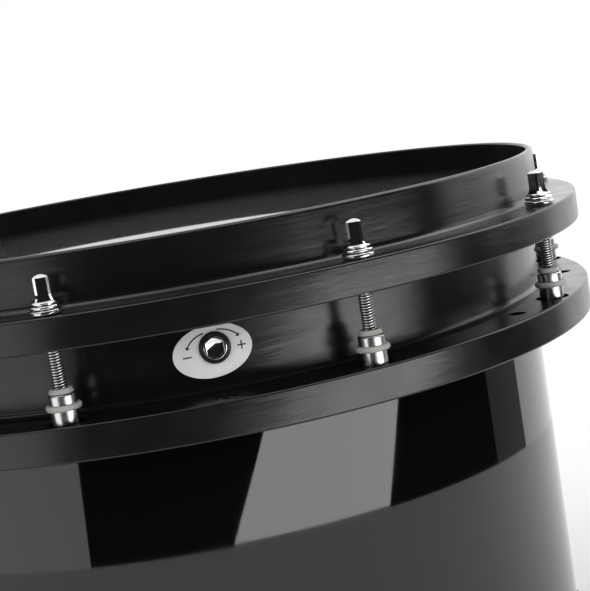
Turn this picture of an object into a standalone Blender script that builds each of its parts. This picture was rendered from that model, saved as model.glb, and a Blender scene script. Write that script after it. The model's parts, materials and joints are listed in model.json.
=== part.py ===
"""Marching snare drum with floating shell, ten tension rods a side, in metres, +Z up.

The drum stands on its snare-side rim at z = 0 and its axis is the Z axis. The front is -Y:
the height adjuster of the top snares and the strainer are there, and the butt is at the back.
Each casting and each head is modelled about its own head plane, so that one function makes it
for both sides: the batter side is the right way up, and the snare side is turned over.
"""

import math

import bmesh
import bpy
from mathutils import Matrix, Vector

MM = 0.001

# Driving dimensions
HEAD_SPACING = 305.0 * MM      # between the two playing surfaces: a 12 inch deep drum
BAND_R = 177.8 * MM            # outside of the edge ring's band: half of 14 inches
ROD_COUNT = 10
RING_SEGMENTS = 50
SEAT_GAP = 0.3 * MM            # between pieces that touch
OVERCUT = 1.0 * MM             # how far a cutter runs past the face it opens
WELD_STEP = 0.2 * MM           # keeps the faces of joined boxes out of one plane

# Hoops, heights counted from the head plane
RIM_RISE = 14.2 * MM           # rim above the head
COLLAR_HEIGHT = 21.5 * MM      # rim above the hoop's flange
COLLAR_WALL = 3.0 * MM
COLLAR_CLEARANCE = 1.5 * MM    # between the collar and the head's skirt
COLLAR_FILLET = 2.7 * MM
HOOP_FLANGE_DEPTH = 13.0 * MM
HOOP_WEB = 2.8 * MM            # metal above the flesh hoop
ROD_HOLE_R = 3.1 * MM
ROD_INNER_WALL = 3.0 * MM      # between the flesh hoop's recess and a rod's hole
ROD_OUTER_MARGIN = 8.0 * MM    # from a rod's axis to the flange's edge

# Heads
FILM_THICKNESS = 0.4 * MM
FILM_SKIRT = 13.8 * MM
FILM_CORNER = 0.9 * MM
FLESH_WIDTH = 6.8 * MM
FLESH_HEIGHT = 9.0 * MM
FLESH_SIDE_GAP = 0.6 * MM

# Edge rings: bearing edge, band and lug flange in one casting
RING_GAP = 28.2 * MM           # from the hoop's flange to the lug flange
LUG_FLANGE_DEPTH = 14.0 * MM
LUG_FLANGE_LIP = 0.4 * MM      # lug flange beyond the hoop's flange
LUG_FILLET = 2.5 * MM
BAND_WALL = 4.4 * MM
EDGE_APEX_SET = 1.4 * MM       # the bearing edge's crest, in from the band
SHELL_COVER = 2.5 * MM         # wall of the ring outside the shell
SHELL_LAP = 16.1 * MM          # depth of shell inside a ring
TUBE_RECESS_R = 7.3 * MM
TUBE_RECESS_DEPTH = 4.0 * MM
TUBE_FLOOR = 3.1 * MM          # metal left under a lug tube
CARRIER_HOLE_R = 3.75 * MM
CARRIER_HOLE_CIRCLE_INSET = 2.7 * MM
CARRIER_HOLE_ANGLES = (-75.0, -44.0, 44.0, 75.0)
SNARE_BED_DEPTH = 1.2 * MM
SNARE_BED_WIDTH = 70.0 * MM

# Shell and vent
SHELL_WALL = 5.0 * MM
VENT_R = 4.5 * MM
VENT_WALL = 1.6 * MM
VENT_FLANGE_R = 9.0 * MM
VENT_FLANGE_DEPTH = 1.6 * MM
VENT_SLEEVE_PROUD = 1.5 * MM   # inside the shell

# Tension rods and lug tubes
ROD_R = 2.75 * MM
ROD_REACH = 50.0 * MM          # from the flange's top to the rod's end
KEY_HEAD_WIDTH = 5.7 * MM
KEY_HEAD_TOP = 15.3 * MM       # above the flange
WASHER_R = 6.3 * MM
WASHER_STACK = 5.3 * MM
WASHER_SHOULDER = 1.1 * MM
WASHER_TAPER = 1.7 * MM
TUBE_R = 5.1 * MM
TUBE_BORE_R = 3.15 * MM
TUBE_RISE = 13.7 * MM          # above the lug flange
TUBE_SOCKET_GAP = 0.5 * MM     # between a tube and its socket's wall
TUBE_COLLAR_R = 6.65 * MM
TUBE_COLLAR_DEPTH = 2.3 * MM
TUBE_COLLAR_RISE = 5.1 * MM    # underside of the nylon collar above the lug flange
ROD_SIDES = 8
TUBE_SIDES = 10

# Height adjuster of the top snares, at the front and at the back
ADJUSTER_DROP = 31.6 * MM      # below the batter head
PLATE_WIDTH = 30.8 * MM
PLATE_HEIGHT = 21.0 * MM
PLATE_TILT_DEG = 5.0           # right end up
PLATE_SIDE_SET = 1.0 * MM      # oval's middle to the left of the adjuster
PLATE_DROP = 1.2 * MM          # oval's middle below the adjuster
PLATE_THICKNESS = 0.8 * MM
BUSHING_FLANGE_R = 6.2 * MM
BUSHING_FLANGE_DEPTH = 1.5 * MM
BUSHING_R = 5.1 * MM
ADJUSTER_HEAD_R = 4.5 * MM
ADJUSTER_SHAFT_R = 3.0 * MM
ADJUSTER_HEAD_DEPTH = 2.6 * MM
ADJUSTER_HEAD_PROUD = 0.7 * MM
RUNNING_GAP = 0.35 * MM
CRANK_R = 4.2 * MM
CRANK_DEPTH = 1.6 * MM
PIN_R = 1.5 * MM
PIN_LENGTH = 5.5 * MM
PIN_THROW = 2.2 * MM
PIN_START_DEG = 35.0           # above the level, with the snares fully up
HEX_SOCKET_R = 3.2 * MM
HEX_SOCKET_DEPTH = 1.8 * MM

# Top snare unit under the batter head
GUIDE_PLATE_DEPTH = 3.5 * MM
GUIDE_RAIL_WIDTH = 3.6 * MM
GUIDE_RAIL_LENGTH = 8.0 * MM
GUIDE_LOW = 11.2 * MM          # below the adjuster's axis
GUIDE_HIGH = 14.8 * MM
FRAME_END_WIDTH = 28.0 * MM
FRAME_END_DEPTH = 4.0 * MM
FRAME_END_LIFT = 4.0 * MM      # above the guide's lower end
FRAME_BAR_WIDTH = 40.0 * MM
FRAME_BAR_DEPTH = 4.0 * MM
FRAME_BAR_RISE = 5.0 * MM      # above the adjuster's axis
FRAME_POST_DEPTH = 9.0 * MM
FRAME_SLOT_WIDTH = 8.4 * MM
FRAME_BAR_SET = 8.0 * MM       # wide bar's end, in from the guides
WIRE_R = 0.85 * MM
WIRE_PLATE_HEIGHT = 1.8 * MM
WIRE_PLATE_MARGIN = 2.0 * MM   # beyond the outermost wire
WIRE_LAP = 2.0 * MM            # of a wire into its plate
WIRE_COUNT = 10
WIRE_PITCH = 4.2 * MM
WIRE_BELOW_FILM = 0.5 * MM
WIRE_PLATE_DEPTH = 12.0 * MM
WIRE_PLATE_PROUD = 1.0 * MM    # beyond the frame's wide bar
WIRE_SIDES = 6

# Snare strands under the snare-side head
STRAND_R = 0.9 * MM
STRAND_COUNT = 8
STRAND_PITCH = 4.5 * MM
STRAND_BELOW_FILM = 0.4 * MM
STRAND_BAR_DEPTH = 4.0 * MM
STRAND_BAR_HEIGHT = 2.0 * MM
STRAND_SIDES = 6
STRAND_BAR_MARGIN = 2.0 * MM   # beyond the outermost strand
GATE_WIDTH = 44.0 * MM
GATE_HEIGHT = 8.0 * MM

# Strainer at the front and butt at the back, depths counted outwards from the bracket's inner face
BRACKET_WIDTH = 60.0 * MM
BRACKET_PLATE = 3.0 * MM
BRACKET_FOOT = 5.0 * MM        # above the floor
BRACKET_REACH = 35.0 * MM      # how far the strainer and the butt stand out
CHEEK_WALL = 4.0 * MM
JAW_SIDE_GAP = 0.5 * MM
JAW_LOW = 7.0 * MM
JAW_HIGH = 20.0 * MM
JAW_STRAND_GAP = 0.3 * MM      # above and below the strands' bar
JAW_POCKET_WALL = 4.0 * MM
TONGUE_HEIGHT = 3.6 * MM
TONGUE_LENGTH = 10.0 * MM
TONGUE_DEPTH = 2.0 * MM        # into the cheek's groove
TONGUE_SET = 2.0 * MM          # from the jaw's inner face
PIVOT_HEIGHT = 36.0 * MM
PIVOT_DEPTH = 18.5 * MM
PIVOT_R = 3.0 * MM
PIVOT_PROUD = 1.2 * MM         # of the pin beyond each cheek
CAM_R = 8.5 * MM
CAM_THROW = 3.5 * MM
CAM_WIDTH = 11.0 * MM
CAM_START_DEG = -45.0          # from the outward direction, with the snares on
YOKE_WALL = 3.0 * MM
YOKE_TOP = 40.0 * MM
STRAINER_CHEEK_TOP = 46.0 * MM
STRAND_ENTRY = 2.0 * MM        # how far a jaw covers the strands before their bar
POCKET_END_GAP = 0.5 * MM
GROOVE_END_GAP = 0.7 * MM
LEVER_ARM_WALL = 3.5 * MM
LEVER_HUB_R = 5.5 * MM
LEVER_ARM_FOOT = 3.0 * MM      # below the pivot
LEVER_ARM_SET = 1.0 * MM       # arm's edge, in from the hub's
LEVER_ARM_LAP = 2.0 * MM       # of an arm over the handle
LEVER_HANDLE_START = 17.5 * MM
LEVER_LENGTH = 58.0 * MM
LEVER_WIDTH = 26.0 * MM
LEVER_THICKNESS = 4.0 * MM
THROW_OFF_DEG = 90.0
BUTT_JAW_START = 5.0 * MM
BUTT_JAW_DEPTH = 14.0 * MM
BUTT_TRAVEL = 1.0 * MM
BUTT_CHEEK_TOP = 24.0 * MM
BUTT_WALL = 3.5 * MM
KNOB_R = 8.6 * MM
KNOB_DEPTH = 9.7 * MM
KNOB_SHAFT_R = 2.5 * MM
KNOB_CHAMFER = 1.0 * MM
KNOB_HEIGHT = 13.5 * MM
THREAD_FLOOR = 1.2 * MM        # metal between the butt jaw's thread and its pocket

# Sizes that follow from the driving dimensions
SNARE_HEAD_Z = RIM_RISE
BATTER_HEAD_Z = RIM_RISE + HEAD_SPACING
FACET = math.cos(math.pi / RING_SEGMENTS)
FILM_INNER_R = BAND_R + SEAT_GAP
FILM_R = FILM_INNER_R + FILM_THICKNESS
COLLAR_INNER_R = FILM_R + COLLAR_CLEARANCE
RIM_R = COLLAR_INNER_R + COLLAR_WALL
FLESH_INNER_R = FILM_R + SEAT_GAP
FLESH_R = FLESH_INNER_R + FLESH_WIDTH
RECESS_R = FLESH_R + FLESH_SIDE_GAP
ROD_CIRCLE_R = RECESS_R + ROD_INNER_WALL + ROD_HOLE_R
FLANGE_R = ROD_CIRCLE_R + ROD_OUTER_MARGIN
LUG_FLANGE_R = FLANGE_R + LUG_FLANGE_LIP
FLANGE_TOP = RIM_RISE - COLLAR_HEIGHT
FLANGE_BOTTOM = FLANGE_TOP - HOOP_FLANGE_DEPTH
LUG_TOP = FLANGE_BOTTOM - RING_GAP
LUG_BOTTOM = LUG_TOP - LUG_FLANGE_DEPTH
EDGE_INNER_R = BAND_R - BAND_WALL
EDGE_APEX_R = BAND_R - EDGE_APEX_SET
EDGE_APEX = -FILM_THICKNESS - SEAT_GAP
ROD_END = FLANGE_TOP - ROD_REACH
TUBE_SEAT = LUG_BOTTOM + TUBE_FLOOR
SHELL_R = BAND_R - SHELL_COVER - SEAT_GAP
SHELL_END = LUG_BOTTOM + SHELL_LAP - SEAT_GAP
ROD_FIRST_DEG = 180.0 / ROD_COUNT
CARRIER_CIRCLE_R = ROD_CIRCLE_R - CARRIER_HOLE_CIRCLE_INSET
ADJUSTER_Z = BATTER_HEAD_Z - ADJUSTER_DROP
PLATE_INNER_R = BAND_R + SEAT_GAP
PLATE_FACE = (PLATE_INNER_R + PLATE_THICKNESS) * FACET
BUSHING_SEAT = PLATE_FACE + SEAT_GAP
BUSHING_FACE = BUSHING_SEAT + BUSHING_FLANGE_DEPTH
ADJUSTER_BORE_R = BUSHING_R + RUNNING_GAP
GUIDE_HALF = FRAME_END_WIDTH / 2 + RUNNING_GAP + GUIDE_RAIL_WIDTH
GUIDE_WALL = math.sqrt((EDGE_INNER_R * FACET) ** 2 - GUIDE_HALF ** 2) - SEAT_GAP
GUIDE_FACE = GUIDE_WALL - GUIDE_PLATE_DEPTH
BUSHING_END = GUIDE_FACE - SEAT_GAP
SHAFT_END = BUSHING_END - SEAT_GAP
CRANK_END = SHAFT_END - CRANK_DEPTH
FRAME_END_FACE = CRANK_END - SEAT_GAP
PIN_RISE = PIN_THROW * math.sin(math.radians(PIN_START_DEG))
PIN_SIDE = PIN_THROW * math.cos(math.radians(PIN_START_DEG))
FRAME_HALF = FRAME_END_FACE - FRAME_END_DEPTH
FRAME_BAR_HALF = GUIDE_FACE - GUIDE_RAIL_LENGTH - FRAME_BAR_SET
WIRE_Z = BATTER_HEAD_Z - FILM_THICKNESS - WIRE_BELOW_FILM - WIRE_PLATE_HEIGHT / 2
STRAND_Z = SNARE_HEAD_Z - STRAND_BELOW_FILM - STRAND_R
BRACKET_FACE = LUG_FLANGE_R * FACET + SEAT_GAP
BRACKET_TOP = SNARE_HEAD_Z - LUG_BOTTOM
REACH = BRACKET_FACE + BRACKET_REACH
PIVOT_R_OUT = BRACKET_FACE + PIVOT_DEPTH
CAM_OUT = CAM_THROW * math.cos(math.radians(CAM_START_DEG))
CAM_UP = CAM_THROW * math.sin(math.radians(CAM_START_DEG))
CAM_TRAVEL = CAM_OUT - CAM_THROW * math.cos(math.radians(CAM_START_DEG - THROW_OFF_DEG))
JAW_HALF = BRACKET_WIDTH / 2 - CHEEK_WALL - JAW_SIDE_GAP
JAW_POCKET_HALF = JAW_HALF - JAW_POCKET_WALL
POCKET_ROOF = STRAND_Z + STRAND_BAR_HEIGHT / 2 + JAW_STRAND_GAP
CLAMP_TOP = STRAND_Z - STRAND_BAR_HEIGHT / 2 - JAW_STRAND_GAP
YOKE_INNER = CAM_R + RUNNING_GAP
CARRIAGE_DEPTH = 2 * (YOKE_INNER + YOKE_WALL)
CARRIAGE_START = PIVOT_R_OUT + CAM_OUT - CARRIAGE_DEPTH / 2
CARRIAGE_POCKET = STRAND_ENTRY + STRAND_BAR_DEPTH + CAM_TRAVEL + POCKET_END_GAP
STRAND_FRONT = CARRIAGE_START + STRAND_ENTRY + STRAND_BAR_DEPTH
BUTT_JAW_FACE = BRACKET_FACE + BUTT_JAW_START
STRAND_BACK = BUTT_JAW_FACE + BUTT_TRAVEL + STRAND_ENTRY + STRAND_BAR_DEPTH
BUTT_POCKET = STRAND_BACK - BUTT_JAW_FACE + BUTT_TRAVEL + POCKET_END_GAP
BUTT_WALL_END = REACH - KNOB_DEPTH - SEAT_GAP


def clear_scene():
    for item in list(bpy.data.objects):
        bpy.data.objects.remove(item)


def new_collection(name):
    collection = bpy.data.collections.new(name)
    bpy.context.scene.collection.children.link(collection)
    return collection


def new_material(name, color, roughness, metallic):
    material = bpy.data.materials.new(name)
    material.use_nodes = True
    shader = material.node_tree.nodes["Principled BSDF"]
    shader.inputs["Base Color"].default_value = (*color, 1.0)
    shader.inputs["Roughness"].default_value = roughness
    shader.inputs["Metallic"].default_value = metallic
    return material


clear_scene()
DRUM = new_collection("marching_snare_drum")
CUTTERS = new_collection("cutters")
SATIN_BLACK = new_material("satin_black_casting", (0.035, 0.035, 0.037), 0.38, 0.3)
GLOSS_BLACK = new_material("gloss_black_lacquer", (0.012, 0.012, 0.013), 0.08, 0.0)
BLACK_FILM = new_material("black_woven_head", (0.02, 0.02, 0.02), 0.3, 0.0)
ALUMINIUM = new_material("aluminium", (0.72, 0.72, 0.73), 0.35, 1.0)
CHROME = new_material("chrome", (0.86, 0.86, 0.87), 0.08, 1.0)
STEEL = new_material("steel", (0.6, 0.6, 0.62), 0.25, 1.0)
WHITE_PLATE = new_material("printed_plate", (0.8, 0.8, 0.8), 0.4, 0.0)
BLACK_PLASTIC = new_material("black_plastic", (0.02, 0.02, 0.02), 0.4, 0.0)
GUT = new_material("snare_strand", (0.75, 0.72, 0.62), 0.4, 0.0)


def link(name, mesh, material=None, collection=None):
    item = bpy.data.objects.new(name, mesh)
    (collection or DRUM).objects.link(item)
    if material:
        mesh.materials.clear()
        mesh.materials.append(material)
    return item


def helper(item):
    """Marks an object as a cutter or a guide, which isn't part of the drum."""
    item.hide_render = True
    item.display_type = "WIRE"
    return item


def mesh_from(bm, name):
    mesh = bpy.data.meshes.new(name)
    bm.to_mesh(mesh)
    bm.free()
    return mesh


def box_mesh(name, *boxes):
    """One mesh that holds a box for each (low corner, high corner)."""
    bm = bmesh.new()
    for low, high in boxes:
        low = Vector(low)
        high = Vector(high)
        place = Matrix.Translation((low + high) / 2) @ Matrix.Diagonal((*(high - low), 1.0))
        bmesh.ops.create_cube(bm, size=1.0, matrix=place)
    return mesh_from(bm, name)


def rod_mesh(name, radius, sides, *spans, axis="Z"):
    """One mesh that holds a cylinder for each (x, y, z, start, end) along the axis."""
    turn = {"Z": Matrix.Identity(4),
            "Y": Matrix.Rotation(math.radians(-90.0), 4, "X"),
            "X": Matrix.Rotation(math.radians(90.0), 4, "Y")}[axis]
    along = {"Z": Vector((0, 0, 1)), "Y": Vector((0, 1, 0)), "X": Vector((1, 0, 0))}[axis]
    bm = bmesh.new()
    for x, y, z, start, end in spans:
        place = Matrix.Translation(Vector((x, y, z)) + along * (start + end) / 2) @ turn
        bmesh.ops.create_cone(bm, cap_ends=True, segments=sides, radius1=radius, radius2=radius,
                              depth=end - start, matrix=place)
    return mesh_from(bm, name)


def turned(name, profile, closed, segments, material=None, collection=None):
    """A profile of (radius, height), which runs down its outer side, turned about Z."""
    mesh = bpy.data.meshes.new(name)
    count = len(profile)
    edges = [(index, (index + 1) % count) for index in range(count if closed else count - 1)]
    mesh.from_pydata([(radius, 0.0, height) for radius, height in profile], edges, [])
    item = link(name, mesh, material, collection)
    screw = item.modifiers.new("turn", "SCREW")
    screw.axis = "Z"
    screw.angle = 2 * math.pi
    screw.steps = segments
    screw.render_steps = segments
    screw.use_merge_vertices = True
    screw.merge_threshold = 0.00001
    screw.use_smooth_shade = False
    return item


def boolean(item, tool, operation):
    modifier = item.modifiers.new(operation.lower(), "BOOLEAN")
    modifier.operation = operation
    modifier.solver = "EXACT"
    modifier.object = tool


def tool_like(item, name, mesh):
    """A cutter that stands where the item stands."""
    tool = helper(link(name, mesh, None, CUTTERS))
    tool.location = item.location
    tool.rotation_euler = item.rotation_euler
    return tool


def cut(item, mesh):
    boolean(item, tool_like(item, item.name + "_cut", mesh), "DIFFERENCE")


def add(item, mesh):
    boolean(item, tool_like(item, item.name + "_add", mesh), "UNION")


def finished_mesh(item, name):
    """The evaluated mesh of an object, which is then removed."""
    bpy.context.view_layer.update()
    evaluated = item.evaluated_get(bpy.context.evaluated_depsgraph_get())
    mesh = bpy.data.meshes.new_from_object(evaluated)
    mesh.name = name
    bpy.data.objects.remove(item)
    return mesh


def around(count, radius, first_deg=0.0):
    """Places round the drum, counted from the front towards +X."""
    for index in range(count):
        angle = math.radians(first_deg + 360.0 / count * index)
        yield radius * math.sin(angle), -radius * math.cos(angle), angle


def at_side(item, side):
    """Puts a piece that is modelled about its head plane on the batter or the snare side."""
    if side == "batter":
        item.location = (0.0, 0.0, BATTER_HEAD_Z)
    else:
        item.location = (0.0, 0.0, SNARE_HEAD_Z)
        item.rotation_euler = (math.pi, 0.0, 0.0)
    return item


def fillet(corner_r, corner_z, size, steps=2):
    """Points of a hollow quarter round between a wall going down and a floor going outwards."""
    for step in range(steps + 1):
        angle = math.pi / 2 * step / steps
        yield corner_r + size * (1 - math.cos(angle)), corner_z + size * (1 - math.sin(angle))


def chord(radius, half_width):
    """How far out a wall of that radius is, at a place half a width beside the middle."""
    return math.sqrt((radius * FACET) ** 2 - half_width ** 2)


# Hoops, heads and flesh hoops
def hoop_profile():
    return [(COLLAR_INNER_R, RIM_RISE), (RIM_R, RIM_RISE),
            *fillet(RIM_R, FLANGE_TOP, COLLAR_FILLET),
            (FLANGE_R, FLANGE_TOP), (FLANGE_R, FLANGE_BOTTOM), (RECESS_R, FLANGE_BOTTOM),
            (RECESS_R, FLANGE_TOP - HOOP_WEB), (COLLAR_INNER_R, FLANGE_TOP - HOOP_WEB)]


def make_hoop(name, side):
    hoop = at_side(turned(name, hoop_profile(), True, RING_SEGMENTS, SATIN_BLACK), side)
    spans = [(x, y, 0.0, FLANGE_BOTTOM - OVERCUT, FLANGE_TOP + OVERCUT)
             for x, y, _ in around(ROD_COUNT, ROD_CIRCLE_R, ROD_FIRST_DEG)]
    cut(hoop, rod_mesh(name + "_rod_holes", ROD_HOLE_R, TUBE_SIDES, *spans))
    return hoop


def cut_snare_gates(hoop):
    """Two windows in the snare-side collar, where the strands leave the drum."""
    low = STRAND_Z - GATE_HEIGHT / 2
    half = GATE_WIDTH / 2
    inner = chord(COLLAR_INNER_R, half) - OVERCUT
    boxes = [((-half, min(sign * inner, sign * (RIM_R + OVERCUT)), low),
              (half, max(sign * inner, sign * (RIM_R + OVERCUT)), low + GATE_HEIGHT))
             for sign in (-1, 1)]
    gates = helper(link(hoop.name + "_gates", box_mesh("snare_gates", *boxes), None, CUTTERS))
    boolean(hoop, gates, "DIFFERENCE")


def make_film(name, side):
    profile = [(0.0, 0.0), (FILM_R - FILM_CORNER, 0.0), (FILM_R, -FILM_CORNER), (FILM_R, -FILM_SKIRT),
               (FILM_INNER_R, -FILM_SKIRT), (FILM_INNER_R, -FILM_CORNER - FILM_THICKNESS / 2),
               (FILM_R - FILM_CORNER - FILM_THICKNESS / 2, -FILM_THICKNESS), (0.0, -FILM_THICKNESS)]
    return at_side(turned(name, profile, False, RING_SEGMENTS, BLACK_FILM), side)


def make_flesh_hoop(name, side):
    top = FLANGE_TOP - HOOP_WEB - SEAT_GAP
    profile = [(FLESH_INNER_R, top), (FLESH_R, top),
               (FLESH_R, top - FLESH_HEIGHT), (FLESH_INNER_R, top - FLESH_HEIGHT)]
    return at_side(turned(name, profile, True, RING_SEGMENTS, ALUMINIUM), side)


# Edge rings and shell
def edge_ring_profile():
    shoulder = LUG_BOTTOM + SHELL_LAP
    bevel = EDGE_APEX_R - EDGE_INNER_R
    return [(EDGE_APEX_R, EDGE_APEX), (BAND_R, EDGE_APEX - EDGE_APEX_SET),
            *fillet(BAND_R, LUG_TOP, LUG_FILLET),
            (LUG_FLANGE_R, LUG_TOP), (LUG_FLANGE_R, LUG_BOTTOM), (SHELL_R + SEAT_GAP, LUG_BOTTOM),
            (SHELL_R + SEAT_GAP, shoulder), (EDGE_INNER_R, shoulder), (EDGE_INNER_R, EDGE_APEX - bevel)]


def make_upper_edge_ring():
    ring = turned("upper_edge_ring", edge_ring_profile(), True, RING_SEGMENTS, SATIN_BLACK)
    at_side(ring, "batter")
    places = list(around(ROD_COUNT, ROD_CIRCLE_R, ROD_FIRST_DEG))
    recesses = [(x, y, 0.0, LUG_TOP - TUBE_RECESS_DEPTH, LUG_TOP + OVERCUT) for x, y, _ in places]
    sockets = [(x, y, 0.0, TUBE_SEAT, LUG_TOP + OVERCUT) for x, y, _ in places]
    tips = [(x, y, 0.0, ROD_END - RUNNING_GAP, LUG_TOP + OVERCUT) for x, y, _ in places]
    carriers = []
    for angle in map(math.radians, CARRIER_HOLE_ANGLES):
        x = CARRIER_CIRCLE_R * math.sin(angle)
        y = -CARRIER_CIRCLE_R * math.cos(angle)
        carriers.append((x, y, 0.0, LUG_BOTTOM - OVERCUT, LUG_TOP + OVERCUT))
    cut(ring, rod_mesh("tube_recesses", TUBE_RECESS_R, TUBE_SIDES + 4, *recesses))
    cut(ring, rod_mesh("tube_sockets", TUBE_R + TUBE_SOCKET_GAP, TUBE_SIDES, *sockets))
    cut(ring, rod_mesh("rod_tips", TUBE_BORE_R, TUBE_SIDES, *tips))
    cut(ring, rod_mesh("carrier_holes", CARRIER_HOLE_R, 12, *carriers))
    inner = chord(EDGE_INNER_R, ADJUSTER_BORE_R) - OVERCUT
    outer = BAND_R + OVERCUT
    spans = [(0.0, 0.0, -ADJUSTER_DROP, *sorted((sign * inner, sign * outer))) for sign in (-1, 1)]
    cut(ring, rod_mesh("adjuster_holes", ADJUSTER_BORE_R, 12, *spans, axis="Y"))
    return ring


def make_lower_edge_ring():
    """The snare side's casting, with its ten lug tubes set into it."""
    ring = turned("lower_edge_ring", edge_ring_profile(), True, RING_SEGMENTS, SATIN_BLACK)
    at_side(ring, "snare")
    places = list(around(ROD_COUNT, ROD_CIRCLE_R, ROD_FIRST_DEG))
    tubes = [(x, y, 0.0, LUG_TOP - TUBE_RECESS_DEPTH, LUG_TOP + TUBE_RISE) for x, y, _ in places]
    bore_end = min(TUBE_SEAT, ROD_END - RUNNING_GAP)
    bores = [(x, y, 0.0, bore_end, LUG_TOP + TUBE_RISE + OVERCUT) for x, y, _ in places]
    add(ring, rod_mesh("snare_side_tubes", TUBE_R, TUBE_SIDES, *tubes))
    cut(ring, rod_mesh("snare_side_bores", TUBE_BORE_R, TUBE_SIDES, *bores))
    half = SNARE_BED_WIDTH / 2
    low = EDGE_APEX - SNARE_BED_DEPTH
    inner = chord(EDGE_INNER_R, half) - OVERCUT
    beds = [((-half, min(sign * inner, sign * (BAND_R + OVERCUT)), low),
             (half, max(sign * inner, sign * (BAND_R + OVERCUT)), 0.0)) for sign in (-1, 1)]
    cut(ring, box_mesh("snare_beds", *beds))
    return ring


def make_shell():
    top = BATTER_HEAD_Z + SHELL_END
    bottom = SNARE_HEAD_Z - SHELL_END
    inner = SHELL_R - SHELL_WALL
    shell = turned("shell", [(inner, top), (SHELL_R, top), (SHELL_R, bottom), (inner, bottom)],
                   True, RING_SEGMENTS, GLOSS_BLACK)
    hole_r = VENT_R + VENT_WALL + SEAT_GAP
    span = (0.0, 0.0, (top + bottom) / 2, chord(inner, hole_r) - OVERCUT, SHELL_R + OVERCUT)
    cut(shell, rod_mesh("vent_hole", hole_r, 12, span, axis="X"))
    return shell


def make_vent_grommet():
    """An eyelet in the right-hand side of the shell, half way up."""
    middle = (BATTER_HEAD_Z + SNARE_HEAD_Z) / 2
    seat = SHELL_R + SEAT_GAP
    sleeve = VENT_R + VENT_WALL
    sleeve_end = SHELL_R - SHELL_WALL - VENT_SLEEVE_PROUD
    profile = [(VENT_R, seat + VENT_FLANGE_DEPTH), (VENT_FLANGE_R, seat + VENT_FLANGE_DEPTH),
               (VENT_FLANGE_R, seat), (sleeve, seat), (sleeve, sleeve_end), (VENT_R, sleeve_end)]
    grommet = turned("vent_grommet", profile, True, 16, CHROME)
    grommet.rotation_euler = (0.0, math.pi / 2, 0.0)
    grommet.location = (0.0, 0.0, middle)
    return grommet


# Tension rods and lug tubes
def tension_rod_mesh():
    """A key rod about its own axis, with z = 0 at the hoop's flange."""
    profile = [(0.0, WASHER_STACK), (WASHER_R - WASHER_TAPER, WASHER_STACK),
               (WASHER_R, WASHER_STACK - WASHER_SHOULDER), (WASHER_R, SEAT_GAP),
               (ROD_R, SEAT_GAP), (ROD_R, -ROD_REACH), (0.0, -ROD_REACH)]
    rod = turned("rod_pattern", profile, False, ROD_SIDES)
    half = KEY_HEAD_WIDTH / 2
    add(rod, box_mesh("key_head", ((-half, -half, WASHER_STACK - OVERCUT), (half, half, KEY_HEAD_TOP))))
    return finished_mesh(rod, "tension_rod")


def make_tension_rods(side):
    mesh = tension_rod_mesh()
    for index, (x, y, angle) in enumerate(around(ROD_COUNT, ROD_CIRCLE_R, ROD_FIRST_DEG), 1):
        rod = link(f"{side}_tension_rod_{index:02d}", mesh, CHROME)
        if side == "batter":
            rod.location = (x, y, BATTER_HEAD_Z + FLANGE_TOP)
            rod.rotation_euler = (0.0, 0.0, angle)
        else:
            rod.location = (x, y, SNARE_HEAD_Z - FLANGE_TOP)
            rod.rotation_euler = (math.pi, 0.0, angle)


def make_batter_lug_tubes():
    """Chrome tubes that stand in the upper edge ring, with a nylon collar, z = 0 at the lug flange."""
    foot = -LUG_FLANGE_DEPTH + TUBE_FLOOR + SEAT_GAP
    collar_top = TUBE_COLLAR_RISE + TUBE_COLLAR_DEPTH
    profile = [(TUBE_BORE_R, TUBE_RISE), (TUBE_R, TUBE_RISE), (TUBE_R, collar_top),
               (TUBE_COLLAR_R, collar_top), (TUBE_COLLAR_R, TUBE_COLLAR_RISE),
               (TUBE_R, TUBE_COLLAR_RISE), (TUBE_R, foot), (TUBE_BORE_R, foot)]
    mesh = finished_mesh(turned("tube_pattern", profile, True, TUBE_SIDES), "lug_tube")
    for index, (x, y, angle) in enumerate(around(ROD_COUNT, ROD_CIRCLE_R, ROD_FIRST_DEG), 1):
        tube = link(f"batter_lug_tube_{index:02d}", mesh, CHROME)
        tube.location = (x, y, BATTER_HEAD_Z + LUG_TOP)
        tube.rotation_euler = (0.0, 0.0, angle)


# Height adjusters, modelled for the front and turned round for the back
def facing(item, end):
    """Turns a piece that is modelled at the front to the back, where the end asks for it."""
    if end == "back":
        item.rotation_euler = (0.0, 0.0, math.pi)
    return item


def turned_back(item):
    """Turns a finished piece from the front to the back, with its cuts."""
    name = item.name
    material = item.data.materials[0]
    mesh = finished_mesh(item, name + "_mesh")
    item = link(name, mesh, material)
    item.rotation_euler = (0.0, 0.0, math.pi)
    return item


def oval_mesh(name, width, height, low, high, place):
    """An elliptical block along Y, between two depths in front of the axis, with its right end up."""
    bm = bmesh.new()
    turn = Matrix.Rotation(math.radians(90.0), 4, "X")
    scale = Matrix.Diagonal((width / 2, 1.0, height / 2, 1.0))
    tilt = Matrix.Rotation(math.radians(-PLATE_TILT_DEG), 4, "Y")
    spot = Matrix.Translation((place[0], -(low + high) / 2, place[1]))
    bmesh.ops.create_cone(bm, cap_ends=True, segments=28, radius1=1.0, radius2=1.0,
                          depth=high - low, matrix=spot @ tilt @ scale @ turn)
    return mesh_from(bm, name)


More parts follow.
